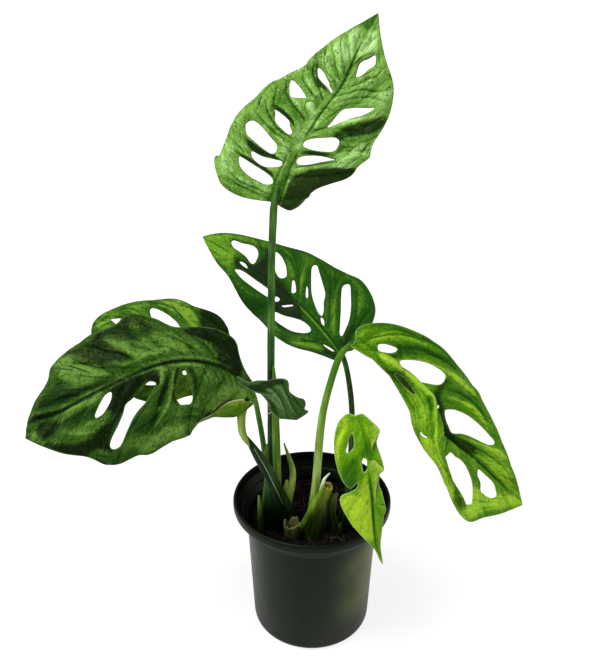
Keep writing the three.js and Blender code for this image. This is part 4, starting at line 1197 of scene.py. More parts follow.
def blade(name, leaf, finish, slot, *nodes):
    """A leaf in its own piece."""
    return placed(blade_mesh(name, leaf, finish), slot, *nodes)


# ---- top leaf ----
# The highest leaf leans back from its stalk, which runs on below it as a raised rib. It is a
# mid green, with ten narrow holes and one broad base lobe. The right half's base folds back
# under painted shade, so that the left half looks paler.
TOP_LEAF = dict(
    midrib=[
        [-26, -4, 340], [-19, -7, 361], [-10, -8, 379], [2, -7, 397], [15, -3, 410], [25, 3, 430],
        [37, 12, 451],
    ],
    right=[
        [-10, -4, -10, 8, -60], [8, -4, -10, 14, -50], [16, -4, -10, 22, -25], [30, -6, -8, 40, 0],
        [132, 8, 0, 40, 0],
    ],
    left=[[-10, 8, -16, 40, 0], [60, 4, -12, 40, 0], [132, 0, 0, 40, 0]],
    rim_right=[
        0, 2, -1, 8, -1, 13, 1, 18, 8, 20.5, 15, 21, 21, 24, 27, 29, 35, 35.5, 42, 38.5, 51, 39, 61, 41,
        70, 40.5, 76, 36.5, 83, 34, 90, 31, 96, 28, 104, 22, 111, 15.5, 121, 7.5, 132, 0,
    ],
    rim_left=[
        0, -2, -2, -10, -4, -22, -2.5, -33, 2, -39, 12, -45.5, 15, -42.6, 22, -42.2, 33, -41.8, 41, -39.6,
        49, -36.4, 60, -33.6, 66, -29, 73, -25.4, 82, -24.8, 90, -24.4, 98, -21, 112, -12.5, 124, -5, 132, 0,
    ],
    holes=[
        [10, -13, 11, -20, 14, -27, 18.5, -30, 19, -27, 18, -18, 17, -11, 15, -5.5, 12, -4, 9.8, -8],
        [20, -18, 22, -22.5, 24.5, -23, 24.5, -16, 26, -9, 27, -4, 25.5, -2.5, 23.5, -3.5, 21, -8,
        19.5, -13], [28, -12, 28.5, -18, 30, -27, 31, -31, 35.5, -33.5, 39, -30.5, 39, -25, 37, -18,
        35, -11.5, 33, -9.5, 29.5, -9.5], [43, -9, 44, -15, 45.5, -19, 48.5, -20.5, 50.5, -22.3, 50.8, -18,
        50, -11.5, 47.5, -9, 45.5, -6, 43.5, -6.5], [61, -19, 63.5, -22, 66.5, -24.5, 67, -19, 66, -12,
        65.2, -10.5, 63.8, -13, 61.5, -16.5], [77.3, -2, 78, -6, 78.5, -13, 81, -15.5, 87.5, -17.5,
        86.5, -13.5, 83, -9, 81, -6.5, 80, -5.8, 79, -2.5], [30, 6, 33, 4.5, 36, 6.5, 40, 12, 43, 18,
        45.3, 25, 43, 22.5, 39, 18.5, 33, 12], [41.8, 4, 45, 3.3, 49.5, 7, 53, 11.5, 57.5, 17, 57.8, 20.5,
        54, 22, 49, 21, 45, 15, 42.5, 9], [60, 10, 66, 10.3, 75, 9.5, 78.5, 12, 81, 16, 83, 21, 84, 24,
        80, 21, 76, 17, 70, 14.5, 63, 12.3], [92.5, 5.5, 96, 4.5, 101, 4.3, 105, 7.5, 109, 10.5, 106, 12.3,
        103, 13, 99, 10.5, 95, 8.5],
    ],
    veins_right=[
        [3, 14, 20], [17, 44, 36], [33, 66, 38], [50, 84, 31], [66, 100, 24], [84, 112, 14], [100, 122, 6],
    ],
    veins_left=[
        [2, 3, 38], [17, 24, 40], [26, 32, 40], [41, 50, 34], [56, 60, 33], [70, 84, 24], [86, 100, 19],
        [100, 114, 11],
    ],
    # Painted light and shade: the tones, patches and shades, and the colour of the folds.
    tones=[
        [62, -3, 64, -6, 2.2, 1], [104, -6, 118, -6, 4, 0.5], [108, 4, 120, 4, 4, 0.5],
        [3, -40, 35, -38, 4, 0.25], [45, 30, 75, 38, 4, 0.3], [44, -3, 58, 2, 4, 0.3],
        [20, -4, 35, -4, 3, 0.3], [0, 0, 12, 0, 3, -0.5], [12, 0, 46, 1, 2, 0.25],
        [85, -12, 98, -15, 3, 0.3], [84, 22, 92, 28, 4, 0.4], [8, -4, 10, -14, 1.5, 0.3],
    ],
    patches=[
        (-0.45, 3, -4, -5, 14, -4, 34, -3, 34, 3, 14, 5, -4, 6), (-0.55, 2.5, 51, -8, 52, -22, 55, -27,
        58, -24, 58, -14, 55, -6), (-0.4, 3, -5, -36, 0, -40, 2, -32, 0, -18, -4, -16, -6, -28),
        (-1, 1.6, 117, -8, 121, -6, 121, 0, 133, 0, 124, -6), (0.5, 2, 104, 0, 116, 0.6, 122, 2, 112, 11,
        106, 8), (0.4, 3, 100, -14, 110, -10, 118, -5, 112, -1, 100, -2), (0.3, 3, 58, 30, 72, 30, 74, 38,
        60, 40), (-0.9, 2.5, 58, 16, 66, 17, 76, 21, 83, 29, 80, 35, 72, 32, 62, 28, 54, 23),
        (-0.4, 3, 62, -27, 72, -24, 84, -23, 80, -19, 70, -20),
    ],
    folds=[
        (8, 7, -2, 3.6, 12, 3.8, 26, 3.2, 38, 3), (6, 6, 2, -2.6, 14, -2.6, 26, -2, 44, -1.6),
        (10, 7, 46, 2.2, 58, 2.4, 68, 1.8, 78, 0.2), (12, 8, 76, 0.2, 88, 0, 100, 0, 112, -0.4),
        (-5, 7, 30, 1.2, 50, 0.6, 74, -0.8), (8, 6, 2.4, -3, 2.6, -14, 3.4, -24, 6, -34), (8, 6, 5.6, -4,
        5.8, -14, 6.4, -24, 10, -34), (11, 8, 15.4, -3.4, 18.4, -10, 19.6, -19, 20, -28, 21, -35),
        (7, 6, 19.4, -13, 18.8, -20, 22, -28, 26, -36), (13, 10, 26, -2.4, 27.4, -6, 26.8, -13, 26.8, -22,
        29.4, -32), (7, 6, 33, -3, 31, -7, 29, -9), (8, 6, 39.6, -3, 39.8, -12, 41.4, -22, 44, -31),
        (8, 6, 42.4, -4, 42.2, -12, 44, -19, 49, -27, 54, -30), (11, 8, 47.6, -5, 50.6, -9, 52, -16,
        52.6, -24), (-6, 7, 37, -3, 37.8, -8, 39, -14), (9, 7, 55, -3, 57.4, -9, 59, -16, 61, -22, 66, -27),
        (6, 6, 58, -2.6, 60.4, -6, 60.6, -9), (8, 6, 61, -4, 61.6, -7.6, 64, -8.8, 66.4, -6, 66, -3.4),
        (7, 6, 50, -24, 56, -26, 62, -30), (6, 6, 44, -31, 54, -33, 62, -32), (8, 7, 68, -4, 69, -12,
        70, -19, 73, -23), (9, 7, 71, -3, 73, -9, 74, -13, 78, -18, 88, -20.6, 98, -21), (7, 6, 76, -3,
        76.6, -9, 78, -14), (7, 6, 82, -2, 86, -8, 88, -12, 94, -16, 102, -18), (6, 6, 86, -1.4, 91, -6,
        96, -10, 104, -15), (6, 6, 92, -1.4, 98, -6, 106, -11, 112, -12), (5, 6, 92, -10, 98, -13, 106, -15),
        (5, 6, 98, -1, 106, -5, 114, -8), (5, 6, 86, -12, 92, -17, 98, -19), (6, 6, 104, -1, 112, -3,
        120, -4), (8, 7, 78, 1, 83, 6, 88, 12, 90, 20, 93, 26), (8, 7, 83, 1, 88, 7, 93, 12, 98, 17,
        106, 19), (7, 6, 88, 1, 92, 4, 95, 9, 100, 13.6, 106, 14.4), (7, 6, 72, 3, 80, 7, 84, 12, 87, 20,
        88, 28), (6, 6, 58, 5, 68, 7.6, 78, 9, 83, 15), (8, 6, 52, 4, 58, 8, 60, 9.4), (9, 7, 96, 1,
        102, 2.6, 107, 6, 110, 9.6), (5, 6, 110, 2, 116, 3, 124, 3), (5, 6, 100, 18, 106, 15, 114, 10),
        (8, 6, 27, 5, 33, 13, 40, 21, 45, 27), (6, 6, 24, 6, 32, 17, 40, 28, 48, 37), (11, 8, 38, 4,
        41.4, 10, 44.6, 17, 46.6, 22), (8, 7, 46, 22.6, 54, 24.4, 58, 27, 64, 33), (7, 6, 50, 28, 60, 30,
        70, 32), (10, 8, 60, 35.4, 68, 35.6, 75, 34.6), (-7, 8, 58, 10, 68, 13.6, 76, 18.4, 82, 27, 84, 32),
        (11, 8, 57.6, 20, 64, 23, 72, 26, 80, 32), (6, 6, 42, 30, 52, 34, 62, 38), (6, 6, 62, 38, 70, 38,
        76, 35), (-4, 6, 5, 5, 8, 10, 12, 16), (-4, 6, 17, 5, 22, 12, 28, 20),
    ],
    shades=[
        (1, 2, -1, 5, 10, 5, 22, 7, 28, 12, 34, 18, 41, 27, 48, 38, 44, 44, 30, 38, 20, 30, 5, 28, -6, 22,
        -5, 8), (0.8, 1.8, 58, 16, 64, 17, 73, 19, 79, 24, 84, 32, 80, 34, 74, 28, 64, 22, 56, 20),
        (0.7, 1, 24.4, -22, 25.6, -14, 28, -8, 29.6, -9.6, 28, -14, 29, -26, 27, -28), (0.7, 1, 18.6, -28,
        18.4, -18, 16.4, -7, 18, -6, 20, -16, 20.4, -28), (0.8, 1, 37, 4.6, 41, 9, 44, 16, 45.6, 24,
        44.6, 24, 41, 14), (0.8, 1.2, 74, -12, 80, -17.4, 90, -19.6, 100, -20, 90, -18, 83, -16.4, 78, -13,
        76.6, -6, 75, -6), (0.6, 1.2, 50, -22, 52, -24, 53, -16, 51, -9, 49.6, -10), (0.7, 1.2, 96, 3.8,
        101, 3.4, 106, 7, 110, 11, 108, 11, 104, 7.4, 100, 4.6),
    ],
    up=(-0.15, -1, 0.2), quilt=1.7, wave=(0.9, 52, 0.5), rough=0.6, rib=1.2, seed=1, crinkle=1.1,
)
top_green = leaf_finish(
    "top_leaf_green", "#1a320c", "#346c18", "#78aa40", "#bcea92", "#6f5a44",
    Crease=0.1, Crest=0.4, Mottle=1.05, Streak=1.25, Folds=1.1, Rim=0.35,
)
blade("leaf_top", TOP_LEAF, top_green, "leaf_mid_green", "blade_top")

# ---- upper leaf ----
# The leaf behind the top one points away and down. It is the darkest of the six, with painted
# shade over its middle, a pale thin midrib and a yellow-green tip.
UPPER_LEAF = dict(
    midrib=[[20, 6, 229], [8, 10, 244], [-9, 16, 261], [-30, 21, 278], [-53, 26, 293], [-76, 30, 306]],
    right=[[0, 6, -10, 40, 0], [90, 8, -10, 40, 0], [127, 6, 0, 40, 0]],
    left=[[0, -36, -10, 40, 0], [60, -32, -10, 40, 0], [127, 0, 0, 40, 0]],
    rim_right=[
        0, 2, -3, 8, -2, 18, 3, 28, 10, 37.4, 19, 42.6, 29, 43.4, 37, 39.4, 45, 36, 55, 33.6, 65, 31, 78, 25,
        88, 21.2, 98, 17.6, 106, 14.6, 116, 10, 123, 5, 128, 0,
    ],
    rim_left=[
        0, -2, -2.6, -7, 4, -13.4, 12, -20.6, 21, -26.8, 32, -32, 42, -34.4, 56, -33.2, 70, -29.2, 81, -24.8,
        90, -19.6, 99, -14.6, 110, -11, 120, -5.4, 128, 0,
    ],
    holes=[
        [26, -9, 27.5, -13.5, 33, -19, 39, -22, 46, -23.8, 51, -24, 55, -20, 54, -18, 48, -15.5, 42, -11.5,
        36, -8, 29, -6.8], [3.5, -4.2, 5, -6, 10, -8, 12.5, -8.2, 10, -6.3, 6, -4.4], [47.8, -4, 49, -6.2,
        52, -10.2, 54.3, -11, 52.4, -8.2, 49.5, -4.6], [58, -8, 58.5, -11, 60.5, -11.5, 62, -8.5, 60.5, -7],
        [65, -12, 75, -12.3, 88, -11.5, 94, -10, 97, -8.3, 92, -6.2, 80, -6.4, 68, -6.8, 65, -10], [90, -2.8,
        92, -3.3, 95, -3, 97.3, -2, 95, -0.8, 91.5, -1.3], [9.6, 8, 11, 7, 14, 9, 22, 17, 30, 25, 34, 30.5,
        33, 34.5, 31, 35, 27, 31.5, 20, 25, 15, 18.5, 12, 13], [23, 2.2, 25, 2, 28, 3.5, 28.5, 5, 26.5, 5.2,
        24, 3.8], [29, 6, 32, 5.3, 38, 7.5, 44, 11, 49, 16, 55, 23.5, 56, 27, 54, 28.6, 50, 26, 43, 21.5,
        38, 18, 35, 13.5, 31, 9.5], [44.5, 7.5, 46, 7, 49, 10.5, 50.5, 13, 49, 12.6, 46.5, 10.3], [53.2, 5,
        54, 3, 55.5, 2.8, 58, 6, 60, 9, 59.3, 10.4, 57, 9, 54.5, 6.6], [65, 9, 66.5, 6, 69, 5.2, 73, 7,
        77, 11, 81, 15.5, 80.5, 18.3, 76, 18, 71, 15.5, 67.5, 12.5], [88, 6, 88, 2.5, 90.5, 1.6, 95, 3.4,
        101, 4, 106, 4.3, 109, 6.5, 108, 8.8, 102, 10.3, 96, 12.6, 91.5, 12.2, 89, 9.5],
    ],
    veins_right=[[2, 14, 38], [18, 44, 35], [47, 72, 26], [60, 86, 21], [77, 94, 18], [104, 118, 8]],
    veins_left=[[12, 36, 33], [54, 70, 30], [99, 112, 10]],
    # Painted light and shade: the tones, patches and shades, and the colour of the folds.
    tones=[[106, 0, 122, 0, 8, 0.5]],
    patches=[
        (0.78, 2.5, 104, -8, 114, -9, 120, -7, 128, -1, 118, 7, 111, 11, 109, 5, 104, 1), (0.36, 3, 8, -13,
        18, -22, 28, -30, 33, -26, 26, -16, 20, -10, 12, -8), (0.21, 3, 30, -28, 44, -31, 58, -31, 52, -27,
        40, -27), (0.36, 2, 14, 3, 24, 5, 32, 12, 36, 20, 28, 16, 20, 8), (0.3, 3, 14, 28, 24, 38, 34, 39,
        46, 33, 42, 30, 36, 37, 26, 36, 18, 26), (0.42, 2, 59, 4, 63, 9, 68, 14, 72, 18, 66, 18, 60, 12),
        (0.24, 3, 52, 26, 60, 24, 66, 28, 56, 32), (0.36, 2, 80, 20, 92, 17, 104, 13, 110, 11, 104, 15,
        92, 19.5, 84, 22), (-0.4, 4, 62, -14, 80, -14, 96, -12, 90, -20, 76, -25, 64, -24), (0.3, 3, 96, -12,
        106, -10, 108, -4, 104, 2, 99, -2),
    ],
    folds=[
        (-12, 6, 1, -1.2, 20, -1.2, 40, -1, 56, -0.4), (7, 7, 1, 0.6, 20, 0.6, 40, 0.8, 58, 0.4),
        (6, 8, 54, 0, 74, 0, 96, 0), (-8, 7, 8, -8, 16, -16, 26, -24, 34, -28), (7, 7, 12, -6, 20, -14,
        26, -19), (5, 7, 32, -25, 44, -29, 60, -30), (-7, 7, 14, 4, 24, 12, 34, 24, 38, 33), (7, 7, 20, 4,
        30, 14, 40, 25, 46, 31), (-6, 7, 48, 4, 56, 14, 60, 24), (6, 7, 6, 8, 12, 20, 20, 30, 28, 38),
        (7, 6, 107, -5, 114, -5.4, 122, -5), (8, 6, 104, 0, 114, 0.2, 124, 0), (5, 6, 106, 4, 114, 4,
        120, 2.6), (-5, 6, 86, 17, 98, 13.6, 110, 10), (5, 7, 40, 26, 50, 30, 58, 32), (5, 7, 60, 14, 70, 20,
        80, 21), (-4, 7, 66, -15, 80, -17, 94, -14), (5, 7, 62, -26, 76, -25, 90, -19),
    ],
    shades=[
        (1.1, 3, 36, -7.6, 44, -12, 54, -17.5, 60, -13, 64, -6.4, 78, -6, 92, -5.8, 98, -6, 101, -1, 88, 1,
        84, 14, 78, 12, 72, 4, 64, 4, 56, 1, 44, -1), (0.8, 2, 25, -11, 31, -19, 40, -24.6, 50, -26,
        52, -24.4, 40, -23, 33, -19, 27, -11), (0.7, 2.5, -2, -7, 6, -11, 12, -9, 4, -4, 0, -3),
        (0.6, 3, 0, 2, 8, 3, 9, 8, 12, 16, 10, 20, 5, 14, 1, 8), (0.5, 2, 84, 13, 92, 14, 100, 12, 108, 10,
        100, 14, 90, 17, 82, 18),
    ],
    up=(0, -1, 0.55), quilt=1.4, wave=(0.8, 46, 1.5), rough=0.4, rib=0.1, seed=2, crinkle=0.3,
)
upper_green = leaf_finish(
    "upper_leaf_green", "#223418", "#1f4a10", "#2c6416", "#74a82a", "#4d4a3a",
    Crease=0.15, Mottle=0.6, Streak=0.7, Folds=0.5, Rim=0.5,
)
blade("leaf_upper", UPPER_LEAF, upper_green, "leaf_dark_green", "blade_upper")

# ---- right leaf ----
# The broad leaf on the right is held flat and turns its outer flap down, so that its pale
# underside shows at the end, brightened with painted light. The midrib is a sunk groove.
RIGHT_LEAF = dict(
    midrib=[[28, -8, 244], [49, -14, 231], [70, -19, 208], [88, -23, 185], [114, -27, 163], [150, -32, 129]],
    right=[
        [0, 30, 0, 8, -40], [15, 80, 0, 11, -110], [30, 96, 0, 14, -140], [60, 98, 0, 18, -150],
        [85, 52, 0, 23, -125], [110, 16, 0, 29, -105], [130, 6, 0, 36, -80], [150, 0, 0, 40, 0],
    ],
    left=[[0, 14, -14, 40, 0], [120, 14, -14, 40, 0], [171, 16, 0, 40, 0]],
    rim_right=[
        0, 2, -1, 5, 6, 10, 16, 16.6, 30, 24.6, 50, 33, 62, 38.2, 70, 39.8, 82, 39, 96, 38.4, 112, 38.4,
        127, 39, 136, 39.6, 141, 37.4, 148, 29, 158, 18, 165, 8.6, 171, 0,
    ],
    rim_left=[
        0, -2, -3.6, -8, -1, -15, 8, -22.6, 24, -32, 35, -37, 46, -39.6, 58, -40.4, 76, -43.4, 88, -43.4,
        97, -41.8, 104, -37.4, 113, -32.4, 128, -25, 148, -14.2, 160, -7.4, 171, 0,
    ],
    holes=[
        [74.4, 35.6, 76.3, 34.6, 78.6, 32.5, 79.1, 33.4, 77, 35.5, 75, 36.4], [14.5, -8, 17, -11, 21, -13,
        25, -14.5, 26, -12.5, 24, -9, 20, -6, 16.5, -5], [32, -10, 39, -18, 47, -24, 55, -27.3, 60.5, -28.5,
        62.5, -26, 63, -21.5, 60, -17, 54, -12, 48, -8.5, 40, -6.5, 34, -7.5], [80, -12.5, 82, -15.5,
        87, -19, 95, -21.5, 104, -22.3, 116, -21.5, 124, -20.5, 126, -18.5, 123.5, -15.5, 117, -13,
        108, -10.8, 102, -8.5, 97, -5, 94, -5, 90, -7, 84, -9.5], [72.1, -9.3, 73.1, -11, 74.6, -10.3,
        74.4, -8.1, 73.1, -7.6], [95, 24.5, 97, 18, 99, 12.5, 101, 10.8, 105, 10.3, 109, 8.6, 114, 8.5,
        120, 11, 126, 15, 130, 20.5, 133, 28, 131, 31, 128.5, 32.3, 123, 30.5, 114, 28.5, 104, 26.5, 98, 26],
        [126.5, 4.5, 128, 3, 134, 2.8, 142, 3, 146, 5.5, 149.2, 9.3, 146, 13.5, 140, 15.3, 136, 15.2,
        133.5, 11.5, 131, 9.5, 128, 8], [32, 21, 36, 20, 44, 21.6, 51, 24, 50, 25.6, 44, 25.4, 36, 23.6],
    ],
    veins_right=[[6, 30, 24], [22, 60, 37], [50, 96, 38], [76, 112, 39], [112, 150, 26], [146, 164, 9]],
    veins_left=[[4, 30, 31], [18, 58, 38], [62, 100, 38], [76, 130, 24], [112, 146, 15], [130, 158, 8]],
    # Painted light and shade: the tones, patches and shades, and the colour of the folds.
    tones=[[60, -31, 92, -39, 2, 0.3], [145, 10, 165, 3, 6, 0.3]],
    patches=[
        (0.35, 4, -2, -8, 10, -18, 20, -24, 16, -10, 6, -2, -2, -1), (-0.7, 3, 22, -10, 30, -14, 38, -23,
        50, -30, 64, -34, 66, -38, 50, -36, 34, -28, 26, -20), (0.3, 2.5, 30, -8, 36, -14, 46, -24,
        58, -29.5, 74, -34, 90, -38, 100, -37, 92, -41, 74, -38.5, 58, -33, 44, -28, 34, -18),
        (-0.7, 3, 62, -26, 74, -31, 90, -33.5, 104, -32, 112, -27, 104, -28, 90, -30.5, 76, -27, 68, -20),
        (0.4, 3, 74, -18, 80, -23, 94, -27, 108, -23.5, 120, -22, 112, -26, 96, -29.5, 80, -27),
        (0.6, 4, 128, -15, 140, -16, 152, -8, 166, -1, 150, -1, 130, -4, 122, -8), (1, 4, 130, 14, 140, 15,
        150, 8, 158, 2, 170, 0, 160, 9, 150, 20, 142, 30, 136, 39, 128, 36, 131, 28, 128, 20),
        (1.1, 3, 80, 31, 92, 29, 106, 30, 118, 33, 118, 38, 100, 39, 84, 39), (0.4, 3, 98, 1, 112, 2, 126, 2,
        126, 8, 118, 7, 108, 6, 100, 8), (-1.2, 1.2, 28, 21, 34, 19.6, 44, 21, 46, 24, 38, 25, 30, 23.6),
        (-0.9, 1.5, 56, 19, 62, 19, 66, 22, 60, 23), (-0.4, 3, 4, -4, 14, -14, 26, -26, 40, -34, 56, -38,
        40, -38, 22, -31, 6, -20), (0.5, 2, 40, 30, 60, 35, 74, 39, 66, 40, 50, 36), (0.3, 3, 18, 10, 30, 13,
        44, 15, 34, 18, 22, 16), (0.4, 5, 44, 17, 62, 22, 84, 29, 92, 38, 70, 39, 52, 33),
    ],
    folds=[
        (13, 12, 74, 0.3, 90, 0, 104, -0.6, 118, -0.8), (9, 8, 116, -0.8, 130, -0.6, 146, -0.4, 160, 0),
        (-6, 8, 1, -1.6, 14, -1.4, 26, -1), (-8, 7, 4, -3, 12, -12, 24, -24, 40, -33), (-9, 7, 20, -1.4,
        30, -8, 42, -21, 56, -29, 74, -36, 90, -39.6), (9, 9, 22, -10, 34, -24, 48, -32, 62, -37),
        (7, 8, 64, -29, 76, -34, 92, -36, 104, -34), (-6, 7, 66, -31, 80, -36, 96, -38.5), (8, 8, 68, -23,
        80, -30, 96, -32.4, 112, -27), (-6, 7, 72, -20, 84, -26, 98, -29, 114, -25), (6, 7, 10, -14, 18, -24,
        28, -31), (-5, 7, 8, -10, 14, -19, 24, -28), (6, 7, 34, -34, 48, -38, 64, -40), (-6, 7, 100, -5,
        114, -10, 128, -15, 142, -17), (7, 7, 98, -3, 112, -6, 126, -9, 140, -10, 152, -7), (-4, 7, 108, -2,
        124, -4, 140, -4, 156, -2), (6, 7, 128, 16, 138, 14, 148, 12, 158, 6), (5, 7, 132, 26, 142, 20,
        152, 12), (4, 6, 134, 34, 144, 24, 154, 14), (10, 9, 79, 2, 82, 10, 83, 22), (-5, 8, 88, 2, 88, 12,
        88, 24), (6, 8, 94, 1, 92, 10, 92, 22), (-10, 7, 12, 10, 24, 14.5, 40, 16, 58, 18, 76, 23.5,
        92, 27.6), (4, 7, 24, 18, 40, 20, 58, 24, 76, 30), (3, 7, 36, 25, 52, 28, 66, 33, 80, 36),
        (-3, 7, 30, 22, 46, 26, 62, 31), (3, 7, 50, 30, 62, 34, 76, 38), (7, 7, 84, 30, 100, 31, 116, 33),
        (5, 6, 86, 34, 104, 35, 122, 36), (4, 7, 44, 18, 58, 20.5, 72, 26), (-6, 7, 72, 33, 76, 35, 79, 36),
    ],
    shades=[
        (0.75, 2.4, 67, -12, 73, -14.5, 81, -12.5, 89, -8, 97, -4, 98, 0, 88, 1, 82, -1, 75, -5, 69, -9),
        (0.8, 3, 62, -28, 66, -23, 70, -14, 78, -8, 84, -4, 94, -3, 88, 0, 76, -1, 66, -8, 62, -16),
        (1.1, 2, 62, 12, 68, 2, 77, 1, 84, 1, 85, 10, 84, 17, 76, 16, 67, 14), (0.7, 3, 92, -2, 100, -6,
        112, -8, 120, -4, 112, 0, 98, 1.5), (0.6, 1.5, 112, 29, 120, 31, 129, 33, 129, 36, 119, 35.5),
        (0.7, 1.8, 14, -5, 22, -7, 26, -10, 27, -14, 30, -14, 28, -7, 20, -3), (0.5, 2.5, 116, 9, 122, 10,
        128, 16, 130, 22, 126, 20, 122, 14), (0.5, 1.5, 94, -42, 104, -38, 112, -33, 108, -36, 98, -41),
        (0.7, 1, 30, 21.6, 36, 20.6, 43, 22, 44, 23.6, 36, 24), (0.45, 2, 28, -2, 38, -2.5, 50, -1, 54, 3,
        48, 5, 38, 6, 30, 3),
    ],
    up=(0.3, -0.75, 0.8), quilt=1.5, wave=(1, 58, 0.2), rough=0.5, rib=-0.4, seed=3, crinkle=0.3,
)
right_green = leaf_finish(
    "right_leaf_green", "#143200", "#265c0a", "#508a0e", "#a0ce30", "#b4c474",
    Crease=0.1, Streak=0.8, Mottle=0.45, Folds=0.9, Under=0.1, Rim=0.5, Lean=-0.12,
)
blade("leaf_right", RIGHT_LEAF, right_green, "leaf_bright_green", "blade_right")

